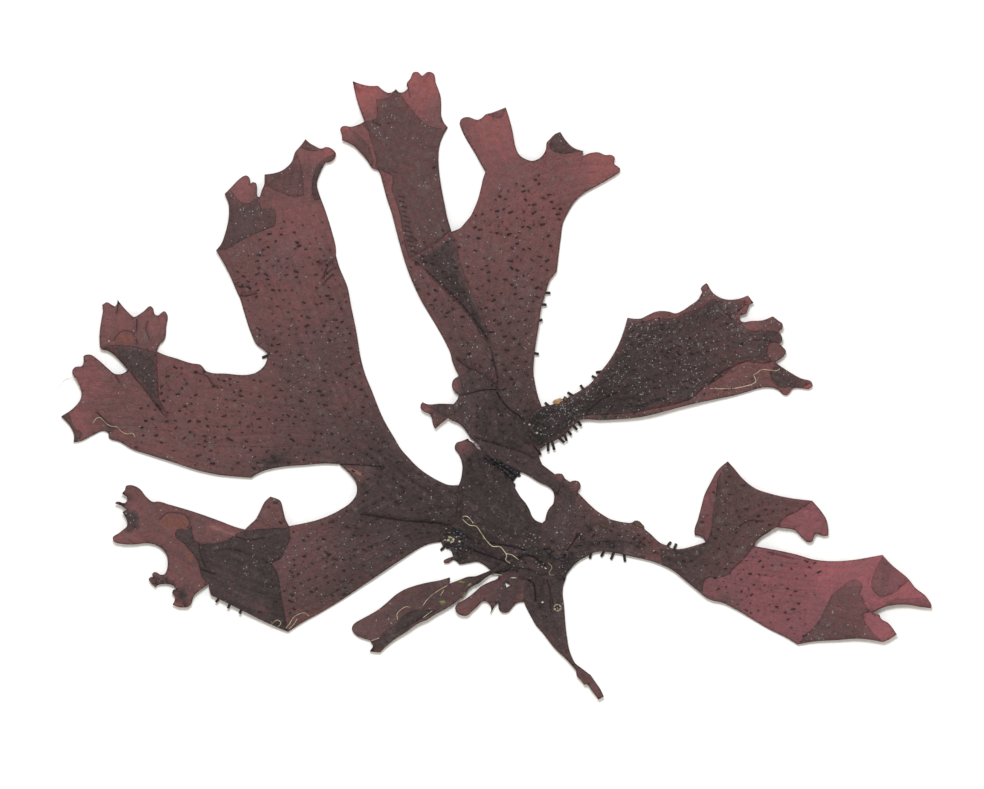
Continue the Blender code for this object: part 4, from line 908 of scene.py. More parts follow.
# Right upper frond
# A narrow stalk, spiny on both margins, whose root lies over the top frond's margin.
# It widens to a fringed blade that was doubled over nearly all of its length, so it dried dark.
RIGHT_UPPER_OUTLINE = [
    (529, 419, S), (533, 411.5), (542.5, 406.5), (550.2, 405), (556, 403.2), (561.7, 400.8),
    (570.4, 396), (580, 390.7), (589.6, 384), (600, 372.3), (609, 361), (617, 347.6), (623.3, 332),
    (627.5, 317.7, S), (633.8, 318.7), (641, 318.4), (648, 315), (657.8, 311.2), (662.8, 311),
    (669, 311.6), (675.5, 313.4), (681.8, 311), (690.3, 305.3), (698, 299.6), (700.8, 294.7),
    (702.3, 292, S), (700.6, 288.6), (703.7, 284.8), (706.5, 283), (709.3, 287.6), (712.8, 292.6),
    (718.5, 296.8), (725.5, 299.3), (732.6, 299.6), (739.6, 298.6), (748, 295.4, S), (753.7, 303, S),
    (750.2, 304.6), (747.4, 310.2), (746, 313.7), (739.6, 315.8), (739.4, 318.7), (741.7, 321.5),
    (751, 321), (763.6, 320), (772.8, 316.3, S), (777.7, 320), (782.7, 324.3), (782, 329.2),
    (779, 331.4), (781.2, 335), (782.4, 340.5), (779.5, 344, S), (783.4, 347.6), (786, 351),
    (785, 354.6), (780.5, 359), (774.9, 362.2, S), (783.4, 368), (801.7, 378.6), (811.6, 382),
    (812.6, 385.7), (808.7, 389.2), (803, 388.5), (791.8, 389.2), (789.7, 392.7), (786.2, 395.5),
    (782, 394), (779, 390.6), (775, 388.5), (766.4, 387.3), (758, 388.5), (748, 391.6), (734, 395.5),
    (720, 398.3), (696, 403.3), (673.3, 409), (646.5, 416), (634, 418), (619.7, 419.2), (600, 420.2),
    (583.8, 419.5), (579.5, 420.3, S), (575, 424.6), (571, 428), (566, 434.2), (563.5, 436.5),
    (559, 438.5), (550.7, 442.8), (547.3, 444), (542.5, 447.5), (538, 449.5), (533, 444), (530, 434),
]

RIGHT_UPPER_DOUBLED = [
    (534, 414, S), (543.5, 408), (557, 404.8), (571, 397.6), (581, 392), (590.6, 385.4), (601, 374),
    (610.5, 362), (618.5, 348.5), (625, 332), (630, 321, S), (641, 322), (656, 318.5), (676, 317.5),
    (684, 313), (700, 308), (706, 304), (712, 299.5), (718, 298.8), (725.5, 301), (739.6, 300),
    (746, 299.5, S), (744, 306), (739, 311), (736, 315), (737.5, 320), (741, 324), (752, 330.5),
    (765, 330.5), (778.5, 332.2, S), (780, 336), (781, 340), (778.5, 343, S), (770, 343), (767.5, 350),
    (768.5, 357), (773.5, 361.5, S), (762.2, 363.8), (745.3, 362.1), (739.6, 364.2), (731.2, 368.7),
    (720, 377.9), (705.8, 387), (690.3, 399), (683, 402), (655, 408.5), (640, 411.5), (625, 413.5),
    (605, 414.5), (588, 415), (579, 417.8, S), (574, 422.5), (565, 433), (550, 441.2), (538, 447.5),
    (534, 443), (531.5, 434), (530.5, 421),
]

RIGHT_UPPER_TIP = [
    (769.5, 372, S), (776.5, 364.8, S), (800.5, 379.3), (811, 383, S), (805, 386), (792, 387),
    (778, 386.6), (771.5, 379),
]

RIGHT_UPPER_LIFT = (534, 432, 34, 70)   # the root's plate point, the reach held up and the reach of the slope
RIGHT_UPPER_CREASES = [
    (-0.0003, [(584, 417), (587.7, 411.3), (593.5, 406), (601.2, 399.8), (608.8, 396), (618.5, 392)]),
    (-0.0002, [(755, 340), (768, 340.5), (776, 342)]),
    (-0.0003, [(684, 403), (706, 387), (720, 373), (734, 366), (744, 363.3), (760, 363.6), (773, 361)]),
    (-0.0002, [(752, 318), (764, 319), (776, 322)]), (-0.00015, [(716, 300), (722, 310), (730, 316)]),
]
RIGHT_UPPER_MIDRIBS = [
    [(528, 432), (580, 405), (630, 375), (690, 350), (740, 325), (780, 332)],
    [(528, 432), (580, 405), (630, 375), (690, 340), (706, 285)],
    [(528, 432), (580, 412), (640, 405), (700, 390), (760, 370), (808, 386)],
]
RIGHT_UPPER_SPOTS = [
    (706, 285, 10, -0.1), (750, 301, 14, -0.04), (660, 400, 26, -0.1), (772, 328, 20, 0.16),
    (772, 350, 18, 0.14), (808, 387, 14, -0.2), (756, 378, 24, 0.1), (700, 302, 28, 0.14),
    (785, 350, 12, 0.12), (531, 426, 28, 0.2), (680, 312, 30, 0.05),
]
RIGHT_UPPER_BARE = [(775, 335, 34), (712, 290, 26), (770, 378, 40)]

right_upper, right_upper_ground = blade(
    "right_upper_frond_blade",
    [
        flat_layer(RIGHT_UPPER_OUTLINE),
        turned_over(RIGHT_UPPER_DOUBLED, RIGHT_UPPER_CREASES, deeper=0.3, soft=0.0005),
        turned_over(RIGHT_UPPER_TIP),
    ],
    RIGHT_UPPER_MIDRIBS, 0.35, RIGHT_UPPER_SPOTS, bare=RIGHT_UPPER_BARE, lift=RIGHT_UPPER_LIFT, knobs=0.00012,
)
right_upper.data.materials.append(dried_thallus("dried algal blade, dark brown", salt_and_glints=1.0))
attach(right_upper, "root")
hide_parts("frond_right_upper")


# Right lower frond
# A slender stalk and a rosy, fringed blade whose edges were turned over in the press.
# A side branch that folded back lies over the blade's foot.
RIGHT_LOWER_OUTLINE = [
    (575, 489.5, S), (584, 498.7), (590, 504.8), (596.2, 510.3), (603.5, 515.2), (609.6, 518.8),
    (617, 521), (625.5, 522.5), (632.2, 522.5), (634.6, 520.6), (640, 521.6), (644.3, 528.6),
    (650, 533.4), (661, 543.2), (667, 545.6), (673, 548.7), (683, 548.6), (692.3, 546.3),
    (705, 542.3, S), (704, 538.8), (701, 536.5), (694.6, 535.4, S), (694.4, 530.7), (698, 519),
    (701.5, 505.4), (704.4, 495), (710.7, 482.3), (717.7, 470.2), (722.3, 465.6), (727.8, 461.3, S),
    (733.8, 468), (743, 478.8), (748.8, 484), (757, 489.2), (767.3, 492.7), (791.5, 498.2),
    (812.2, 500.7, S), (820.3, 510), (826.7, 520.4), (827.8, 526), (828.4, 535.4, S), (824.9, 536.3),
    (815, 534.4), (813.6, 537.7), (812, 541.7), (809.4, 542.6), (802, 537.7), (795, 530.5), (782, 528),
    (777, 527.3), (768.4, 532.5), (760.3, 537.7), (755.7, 542.3), (754, 546, S), (773, 549.4),
    (794, 553.8), (815.7, 559.8), (827.2, 561), (852.3, 560), (870.7, 557), (882.5, 554.8, S),
    (890.3, 563.4), (910, 580.7), (914.6, 587), (926, 596.3), (929, 600.4), (931.5, 605),
    (931, 608.4, S), (919.2, 606.7), (906.5, 604.7), (891.5, 605.5), (884.6, 607), (872.5, 612.7, S),
    (875.3, 614.2), (879.4, 614.5), (880.5, 618), (888, 622.8), (896.9, 634.4, S), (887, 640.5),
    (882.8, 642), (877.6, 641), (859.2, 638.7), (838.4, 640), (811, 642), (797.5, 644.5, S),
    (787.7, 638.4), (768, 628.6), (752, 619), (736, 609.5), (721.7, 602.5), (710.7, 600), (706, 597.6),
    (700.4, 593), (686.5, 581.5), (673, 570.6), (656, 562.7), (634, 557), (609.6, 552.1), (601, 551.3),
    (592.6, 553), (585.3, 557.2), (579.2, 560.8), (573, 566.3), (568, 572.5), (562, 582, S),
    (559, 563), (560, 556), (563, 549), (569, 541), (571, 531), (572, 510), (573, 499),
]

RIGHT_LOWER_BRANCH = [
    (660, 548.5, S), (683, 550.5), (698, 547), (706, 543, S), (710, 534), (712.5, 515), (716.5, 490.4),
    (718, 478.8), (722.5, 470), (727.8, 463, S), (733, 468.8), (742.3, 479.8), (748.3, 485.2),
    (756.6, 490.4), (767, 493.9), (791, 499.4), (811, 501.7, S), (805, 506.7), (798.4, 511),
    (783.4, 519), (778, 526), (768, 531.5), (759.5, 537), (754.7, 542), (752.6, 547), (745.4, 557.3),
    (735, 567.6), (725.7, 575.7), (719, 577.2), (706, 579), (703.5, 583), (703, 592, S), (697, 589),
    (686.8, 580), (673.5, 569.2), (662, 563.5, S),
]

RIGHT_LOWER_CORNER = [
    (882.3, 556.8, S), (889.7, 564.4), (908.5, 580.7, S), (903, 585.4), (896, 591.7), (888, 595.2),
    (882.3, 597), (875.3, 593), (871.9, 588.8), (871.3, 583), (875.3, 570.4),
]

RIGHT_LOWER_TURNED_EDGE = [
    (799.5, 642.3, S), (806, 633.8), (814.2, 627), (820, 618.8), (824.6, 609.6), (833.8, 593.4),
    (840.7, 587.7), (853.4, 579.8), (858, 580.2), (861, 582.5), (862.3, 588.2), (859.8, 592.3),
    (863.2, 599.2), (866, 606), (871.5, 612, S), (864, 613.6), (864.4, 620), (869.6, 629.2),
    (881, 640.3, S), (877.6, 639.8), (859.2, 637.5), (838.4, 638.8), (811, 640.8),
]

RIGHT_LOWER_RIM = [
    (874, 611.2, S), (885.7, 603.8), (892.6, 600), (904.2, 599.2), (915.7, 598), (924, 598.6),
    (929.6, 601.5, S), (930.2, 607.2, S), (919.2, 605.6), (906.5, 603.6), (891.5, 604.4), (884.6, 605.9),
]

RIGHT_LOWER_CREASES = [
    (0.00012, [(577, 484), (590, 498), (604, 511)]),
    (-0.0001, [(590, 545), (610, 541), (632, 543)]),
    (-0.0004, [(564, 557), (567, 550.5), (571, 545), (576.5, 537)]),
    (-0.00015, [(770, 552.5), (793, 558.5)]),
]
BRANCH_CREASES = [
    (-0.00025, [(736, 529.6), (740.7, 525), (745.4, 522), (751, 520.6), (761.5, 521.2)]),
    (-0.0002, [(703, 522), (712, 533)]),
    (-0.0002, [(694, 536), (700, 541), (706, 543)]),
]
RIGHT_LOWER_MIDRIBS = [
    [(560, 545), (610, 537), (660, 555), (700, 575), (760, 590), (830, 600), (890, 628)],
    [(560, 545), (610, 537), (660, 555), (700, 570), (760, 575), (840, 580), (890, 578), (928, 604)],
    [(660, 555), (700, 560), (722, 530), (728, 470)],
    [(700, 560), (735, 525), (775, 510), (820, 520)],
]
RIGHT_LOWER_SPOTS = [
    (920, 600, 70, -0.25), (890, 632, 40, -0.22), (818, 520, 40, -0.02), (850, 570, 60, -0.24),
    (700, 500, 12, -0.1), (745, 585, 60, -0.07), (568, 566, 24, 0.4), (612, 552, 26, 0.26),
    (634, 550, 22, 0.14), (726, 607, 22, 0.2), (846, 592, 22, 0.12), (810, 609, 18, -0.08),
    (590, 549, 24, 0.2), (598, 532, 50, 0.1), (604, 506, 22, -0.22), (640, 524, 16, -0.12),
    (690, 540, 30, 0.12),
]
RIGHT_LOWER_BARE = [(905, 605, 92), (820, 518, 42)]
ROSE_TINTS = ("97585E", "804F55", "644747", "4B3F3E", "2E2A2B")

right_lower, right_lower_ground = blade(
    "right_lower_frond_blade",
    [
        flat_layer(RIGHT_LOWER_OUTLINE, RIGHT_LOWER_CREASES),
        turned_over(RIGHT_LOWER_BRANCH, BRANCH_CREASES, deeper=0.25),
        turned_over(RIGHT_LOWER_CORNER, deeper=0.29),
        turned_over(RIGHT_LOWER_TURNED_EDGE, deeper=0.28), turned_over(RIGHT_LOWER_RIM, deeper=0.28),
    ],
    RIGHT_LOWER_MIDRIBS, 0.25, RIGHT_LOWER_SPOTS, bare=RIGHT_LOWER_BARE,
)
right_lower.data.materials.append(dried_thallus("dried algal blade, rose", ROSE_TINTS, salt_and_glints=0.3))
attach(right_lower, "root")
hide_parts("frond_right_lower")


# Tail
# One narrow frond that runs down from under the crown's curled lobe and ends torn off.
# It is the same leathery tissue as the crown that it grew from, and the press dried it flat.
TAIL_OUTLINE = [
    (567, 566, S), (562, 556), (555, 551), (548, 556), (545, 566), (530, 573), (519, 577, S), (521, 584),
    (522, 590), (523, 599.5), (525.3, 605.5), (532.3, 619), (535.5, 624.7), (542.6, 633), (556, 649.7),
    (566.3, 659.4), (572, 665.8), (576, 671), (576.5, 675.4), (581, 680.5), (584.2, 684.8, S),
    (586, 684.2), (591, 689.6), (598.5, 699.7, S), (603.8, 696.5, S), (600.6, 689.4), (596.6, 683.6),
    (590.6, 675, S), (581, 667.7), (575.3, 663.2), (572.7, 658.7), (570, 652), (567, 637), (565.6, 625.4),
    (563.7, 602.3), (562.7, 594.6), (563, 587), (566, 577.5, S),
]

TAIL_CREASES = [
    (-0.0004, [(528, 580), (533, 583), (535, 592), (535.5, 600)]),
    (0.00012, [(540, 584), (541, 600), (543, 618)]),
    (-0.0003, [(562.5, 561), (563.4, 568), (563, 577)]), (-0.00015, [(547, 580), (551, 594), (553, 604)]),
    (-0.00015, [(549, 586), (550, 600), (551, 612)]),
]
TAIL_MIDRIBS = [[(548, 560), (545, 590), (550, 620), (568, 655), (598, 695)]]
TAIL_SPOTS = [(594, 686, 26, -0.16), (568, 572, 22, 0.2)]

tail, tail_ground = blade(
    "tail_blade", [flat_layer(TAIL_OUTLINE, TAIL_CREASES, swollen=0.00003)], TAIL_MIDRIBS, 0.44, TAIL_SPOTS,
)
tail.data.materials.append(dried_thallus("dried algal tail, dark brown", salt_and_glints=0.1))
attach(tail, "root")
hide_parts("frond_tail")


# Small blade
# A young frond on a thread-thin stalk that lies over the crown's lower edge, with one edge turned over.
# Its tissue is still thin, and its stalk grew from the crown.
SMALL_OUTLINE = [
    (351.8, 629), (352, 627), (354.4, 623.4), (359, 620.6), (380.4, 608), (386, 603.3), (397.7, 593.4),
    (404.6, 589.4), (411.5, 586.8), (430, 582), (439, 580.5), (450, 577.3, S), (449.6, 583.6, S),
    (460, 579.6), (467.5, 576.8), (476, 576), (483, 573.3), (490, 570.4), (497, 565.8), (503, 561.5),
    (508, 563.5), (508.5, 568.5), (500, 571), (490, 575), (484.2, 579), (478.4, 583.6), (471.5, 587),
    (468, 590), (465.7, 594), (461, 598), (448.4, 607.3), (434.6, 614.8), (425.4, 620.6), (420.7, 622.3),
    (407, 631.5), (393, 640.7), (386, 646.5), (380, 652.6, S), (369.4, 651.5, S), (373, 645.4),
    (371, 642), (370.2, 640.2, S), (362, 638), (357.3, 636), (353.8, 633),
]

SMALL_TURNED_EDGE = [
    (371.5, 641, S), (378.6, 639.6), (382.7, 632.7), (396.5, 624), (402.3, 617.7), (411.5, 610.8),
    (425, 610), (439.2, 609.6, S), (430, 614.5), (420, 619.5), (406, 630), (392, 639.4), (385, 645.4),
    (380, 650.5, S), (371.5, 650, S), (374.5, 645.5),
]

SMALL_LIFT = (503, 565, 20, 40)   # as for the right upper frond's root
SMALL_MIDRIBS = [[(503, 565), (470, 582), (430, 602), (370, 635)]]
SMALL_SPOTS = [(500, 565, 46, 0.3), (366, 618, 40, -0.06), (405, 594, 24, -0.06), (448, 590, 20, -0.04)]
SMALL_CREASES = [
    (0.00012, [(498, 567.5), (484, 574), (470, 582)]), (-0.00012, [(500, 569.5), (488, 576), (474, 583.5)]),
]

small, _ = blade(
    "small_blade_blade",
    [flat_layer(SMALL_OUTLINE, SMALL_CREASES), turned_over(SMALL_TURNED_EDGE, deeper=0.2)],
    SMALL_MIDRIBS, 0.32, SMALL_SPOTS, lift=SMALL_LIFT,
)
small.data.materials.append(dried_thallus("dried algal blade, young", salt_and_glints=0.1))
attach(small, "root")
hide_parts("small_blade")


# Short lobes
# A tuft of short rounded lobes under the crown, with one small gap where two of them part.
# They are leathery tissue that grew from the crown's lower edge and dried nearly as dark as the crown.
LOBES_OUTLINE = [
    (498, 578, S), (500, 570, S), (512, 565, S), (524, 579, S), (525, 590), (525, 601.5, S),
    (517, 603), (512, 608), (508, 612.3), (504, 613), (500.3, 611.3), (498.3, 607), (498.7, 602.3, S),
    (495, 605.5), (492.6, 610), (489.4, 615, S), (491.3, 608.7), (490, 605), (486.8, 601.7),
    (484.2, 601), (477.2, 606.8), (472, 611.3), (467.6, 615.5), (460, 615), (456.7, 612.6), (455, 608),
    (457.3, 603.6), (463, 600.4), (470.8, 595.3), (476, 590.8), (481, 586.3), (490, 581.8),
    (496.4, 579.2),
]

LOBES_HOLE = [(505, 582, S), (511, 585, S), (506.2, 587.4, S)]

LOBES_MIDRIBS = [[(510, 572), (490, 590), (462, 608)], [(510, 572), (508, 608)]]
LOBES_SPOTS = [(508, 604, 26, 0.16), (512, 585, 22, 0.2), (462, 609, 14, -0.08)]

lobes, _ = blade(
    "short_lobes_blade", [flat_layer(LOBES_OUTLINE, swollen=0.00004)], LOBES_MIDRIBS, 0.17, LOBES_SPOTS,
    hole=trace(LOBES_HOLE, EDGE_STEP),
)
lobes.data.materials.append(dried_thallus("dried algal lobes", salt_and_glints=0.1))
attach(lobes, "root")
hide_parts("short_lobes")


# Papillae
# Blunt pegs of the same tissue that bear the alga's spores, grown all over the blades but for their tips.
# The press laid them over, so from above they are short dark dashes as often as dots.
PAPILLA_HEIGHT = 0.00057
PAPILLA_ROOT = 0.0002         # how far each reaches down into the blade
PAPILLA_SPACING = 0.0009      # the least between two of them
PAPILLA_SIDES = 6
PAPILLA_LEAN = 1.15           # radians at most, to the left or the right
PAPILLA_TURN = 0.6            # radians at most, out of that plane
PAPILLA_GROWTH = (0.45, 1.3)  # the smallest and the largest against the height above
PAPILLA_PROFILE = [(0.0, 1.2), (0.35, 0.95), (0.8, 0.9), (1.0, 0.3)]   # radius from root to tip
PAPILLA_GROUNDS = {           # mesh, slot, number to a square metre, radius and seed
    "crown": (crown_ground, "crown_thallus", 250000, 0.00012, 3),
    "left_frond": (left_ground, "left_thallus", 700000, 0.00014, 5),
    "top_frond": (top_ground, "top_thallus", 700000, 0.00015, 7),
    "right_upper_frond": (right_upper_ground, "right_upper_thallus", 3000000, 0.0001, 11),
    "right_lower_frond": (right_lower_ground, "right_lower_thallus", 600000, 0.00012, 13),
    "tail": (tail_ground, "tail_thallus", 200000, 0.00012, 17),
}


def growth_tree(name, sockets):
    """An empty Geometry Nodes tree with named inputs, and its input node's outputs."""
    tree = bpy.data.node_groups.new(name, "GeometryNodeTree")
    for socket, kind in {"Geometry": "Geometry", **sockets}.items():
        tree.interface.new_socket(socket, in_out="INPUT", socket_type="NodeSocket" + kind)
    tree.interface.new_socket("Geometry", in_out="OUTPUT", socket_type="NodeSocketGeometry")
    return tree, add(tree, "NodeGroupInput").outputs


def grown(name, host, tree, **inputs):
    """The piece that a tree grows on a host mesh, as plain mesh with no modifier left."""
    piece = in_scene(name, host)
    growth = piece.modifiers.new("growth", "NODES")
    growth.node_group = tree
    for socket in tree.interface.items_tree:
        if socket.in_out == "INPUT" and socket.name in inputs:
            growth[socket.identifier] = inputs[socket.name]
    mesh = bpy.data.meshes.new_from_object(piece.evaluated_get(bpy.context.evaluated_depsgraph_get()))
    piece.modifiers.clear()
    piece.data = mesh
    return piece


def tapered_rod(tree, line, radius, sides, profile):
    """A closed rod along a curve, its radius following a profile from root to tip."""
    parameter = add(tree, "GeometryNodeSplineParameter").outputs["Factor"]
    taper = add(tree, "ShaderNodeFloatCurve", {"Value": parameter})
    knots = taper.mapping.curves[0].points
    for _ in profile[2:]:
        knots.new(0.5, 0.5)
    for knot, (x, y) in zip(knots, profile):
        knot.location = (x, y)
        knot.handle_type = "VECTOR"
    taper.mapping.update()
    slender = add(tree, "GeometryNodeSetCurveRadius", {"Curve": line, "Radius": taper.outputs["Value"]})
    ring = add(tree, "GeometryNodeCurvePrimitiveCircle", {"Resolution": sides, "Radius": radius})
    rod = add(tree, "GeometryNodeCurveToMesh", {
        "Curve": slender.outputs["Curve"], "Profile Curve": ring.outputs["Curve"], "Fill Caps": True,
    })
    return add(tree, "GeometryNodeSetShadeSmooth", {"Geometry": rod.outputs["Mesh"]}).outputs["Geometry"]


papilla_tree, sizes = growth_tree("papillae on a blade", {
    "Density": "Float", "Spacing": "Float", "Radius": "Float", "Height": "Float", "Lean": "Float",
    "Seed": "Int", "Material": "Material",
})
bearing = add(papilla_tree, "GeometryNodeInputNamedAttribute", {"Name": "bearing"}, data_type="FLOAT")
spots = add(papilla_tree, "GeometryNodeDistributePointsOnFaces", {
    "Mesh": sizes["Geometry"], "Distance Min": sizes["Spacing"], "Density Max": sizes["Density"],
    "Density Factor": bearing.outputs["Attribute"], "Seed": sizes["Seed"],
}, distribute_method="POISSON")
tip = add(papilla_tree, "ShaderNodeCombineXYZ", {"Z": sizes["Height"]})
stem = add(papilla_tree, "GeometryNodeCurvePrimitiveLine", {
    "Start": (0, 0, -PAPILLA_ROOT), "End": tip.outputs[0],
})
stem = add(papilla_tree, "GeometryNodeResampleCurve", {"Curve": stem.outputs[0], "Count": 5})
peg = tapered_rod(papilla_tree, stem.outputs[0], sizes["Radius"], PAPILLA_SIDES, PAPILLA_PROFILE)
other_way = add(papilla_tree, "ShaderNodeMath", {0: sizes["Lean"], 1: -1.0}, operation="MULTIPLY").outputs[0]
lean = add(papilla_tree, "FunctionNodeRandomValue", {2: other_way, 3: sizes["Lean"], "Seed": sizes["Seed"]})
turn = add(papilla_tree, "FunctionNodeRandomValue", {2: -PAPILLA_TURN, 3: PAPILLA_TURN, "Seed": 1})
growth = add(papilla_tree, "FunctionNodeRandomValue", {2: PAPILLA_GROWTH[0], 3: PAPILLA_GROWTH[1], "Seed": 2})
facing = add(papilla_tree, "ShaderNodeCombineXYZ", {"Y": lean.outputs[1], "Z": turn.outputs[1]})
pegs = add(papilla_tree, "GeometryNodeInstanceOnPoints", {
    "Points": spots.outputs["Points"], "Instance": peg, "Rotation": facing.outputs[0],
    "Scale": growth.outputs[1],
})
pegs = add(papilla_tree, "GeometryNodeRealizeInstances", {"Geometry": pegs.outputs["Instances"]})
pegs = add(papilla_tree, "GeometryNodeSetMaterial", {
    "Geometry": pegs.outputs["Geometry"], "Material": sizes["Material"],
})
add(papilla_tree, "NodeGroupOutput", {"Geometry": pegs.outputs["Geometry"]})


def plain_tissue(name, tint, fleck, size, roughness):
    """One kind of dried surface: a tint broken up by flecks of another, with the same grain as relief."""
    material, tree, plane = surface(name)
    grains = add(tree, "ShaderNodeTexNoise", {"Vector": plane, "Scale": 1 / size, "Detail": 4.0}).outputs[0]
    ramp = add(tree, "ShaderNodeValToRGB", {"Fac": grains})
    for stop, code, position in zip(ramp.color_ramp.elements, (tint, fleck), (0.4, 0.62)):
        stop.color = colour(code)
        stop.position = position
    settings = {"Roughness": roughness, "Specular IOR Level": 0.2}
    coat(tree, ramp.outputs["Color"], grains, 0.5, size / 5, settings)
    return material


papilla_tissue = plain_tissue("dried papilla tissue, hard and dull", "2A2223", "40332F", 0.0006, 0.5)
for name, (host, slot, density, radius, seed) in PAPILLA_GROUNDS.items():
    papillae = grown(
        name + "_papillae", host, papilla_tree, Density=density, Spacing=PAPILLA_SPACING, Radius=radius,
        Height=PAPILLA_HEIGHT, Lean=PAPILLA_LEAN, Seed=seed, Material=papilla_tissue,
    )
    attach(papillae, "root")


# Marginal spines
# Stiff outgrowths of the blades' own tissue along their margins, each tapering to a blunt tip.
# They stand out from the edge, and two of every three are bent a little to one side.
ROD_SIDES = 8              # of a spine or a thread
RAY_HEIGHT = 0.02          # well above every blade
SPINE_RADIUS = 0.00024
SPINE_ROOT = 0.0007        # how far inside the margin each begins
SPINE_DROP = 0.0005        # how far a tip sinks towards the sheet
SPINE_BEND = 0.00018       # how far it bends to one side
SPINE_PROFILE = [(0.0, 1.5), (0.4, 1.1), (0.8, 0.7), (1.0, 0.2)]
SPINES = {                 # slot, and the plate points of each root and tip
    "crown_spines": ("crown_thallus", [
        (447, 544, 441.6, 551), (439.6, 537.5, 433.6, 541.6),
    ]),
    "left_frond_spines": ("left_thallus", [
        (219, 598.5, 217, 602.5), (230, 604, 228, 608), (241, 609.5, 239, 613), (267, 356, 263, 358.5),
    ]),
    "top_frond_spines": ("top_thallus", [
        (545.8, 292.5, 550, 292), (542, 304.5, 546.3, 304.8), (538.8, 321, 542.2, 320.7),
        (534.5, 353, 538.5, 353),
    ]),
    "right_upper_frond_spines": ("right_upper_thallus", [
        (548.2, 444, 549, 451), (552.3, 442.5, 554.3, 449.8), (559.5, 438.5, 563.5, 443),
        (564.8, 435, 567.5, 440.2), (568.5, 431.5, 571.3, 434.8), (573.2, 426, 576.3, 430),
        (578, 421.5, 581.8, 425), (548.5, 405.7, 545, 402.8), (572.5, 395.3, 568.3, 391.8),
        (583, 389, 579.8, 386), (596.5, 378.5, 592, 376), (601, 371.5, 596.2, 371.5),
        (537.5, 449, 541.5, 454),
    ]),
    "right_lower_frond_spines": ("right_lower_thallus", [
        (667.3, 546, 669.9, 541.5), (674, 549, 676.3, 543.8), (590.6, 553.8, 589, 558),
        (604, 551.3, 602.2, 556.8), (613.6, 552.5, 611, 559.3), (624, 554.8, 624, 561.5),
    ]),
}

blade_corners, blade_faces = [], []
for piece in (crown, left, top, right_upper, right_lower, tail, small, lobes):
    start = len(blade_corners)
    blade_corners += [vertex.co.copy() for vertex in piece.data.vertices]
    blade_faces += [[start + i for i in face.vertices] for face in piece.data.polygons]
all_blades = BVHTree.FromPolygons(blade_corners, blade_faces)


def top_of_blades(x, y):
    """Height of the uppermost blade over a point, or of the sheet where there is none."""
    hit = all_blades.ray_cast(Vector((x, y, RAY_HEIGHT)), Vector((0, 0, -1)))[0]
    return hit.z if hit else 0.0


def chains(name, lines):
    """Lines of points as one mesh of edges, for a tree to grow rods along."""
    corners, edges = [], []
    for line in lines:
        edges += [(len(corners) + i, len(corners) + i + 1) for i in range(len(line) - 1)]
        corners += line
    mesh = bpy.data.meshes.new(name)
    mesh.from_pydata(corners, edges, [])
    return mesh


def rod_tree(name, profile):
    """A tree that grows rods along a mesh of edges."""
    tree, sizes = growth_tree(name, {"Radius": "Float", "Sides": "Int", "Material": "Material"})
    line = add(tree, "GeometryNodeMeshToCurve", {"Mesh": sizes["Geometry"]}).outputs["Curve"]
    rods = tapered_rod(tree, line, sizes["Radius"], sizes["Sides"], profile)
    rods = add(tree, "GeometryNodeRealizeInstances", {"Geometry": rods})
    rods = add(tree, "GeometryNodeSetMaterial", {
        "Geometry": rods.outputs["Geometry"], "Material": sizes["Material"],
    })
    add(tree, "NodeGroupOutput", {"Geometry": rods.outputs["Geometry"]})
    return tree


spine_tree = rod_tree("marginal spines", SPINE_PROFILE)
spine_tissue = plain_tissue("dried spine tissue, hard and dull", "1E1718", "302424", 0.0005, 0.6)
for name, (slot, spines) in SPINES.items():
    lines = []
    for number, (x1, y1, x2, y2) in enumerate(spines):
        root, point = place([(x1, y1), (x2, y2)])
        way = unit(point - root)
        inner = root - way * SPINE_ROOT
        sideways = np.array([-way[1], way[0]]) * SPINE_BEND * (number % 3 - 1)
        height = top_of_blades(*inner) - BLADE / 2
        spine = []
        for share in np.linspace(0, 1, 5):
            x, y = inner + (point - inner) * share + sideways * share**2
            spine.append((x, y, max(height - SPINE_DROP * share, SPINE_RADIUS)))
        lines.append(spine)
    spikes = grown(
        name, chains(name, lines), spine_tree, Radius=SPINE_RADIUS, Sides=ROD_SIDES, Material=spine_tissue,
    )
    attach(spikes, "root")


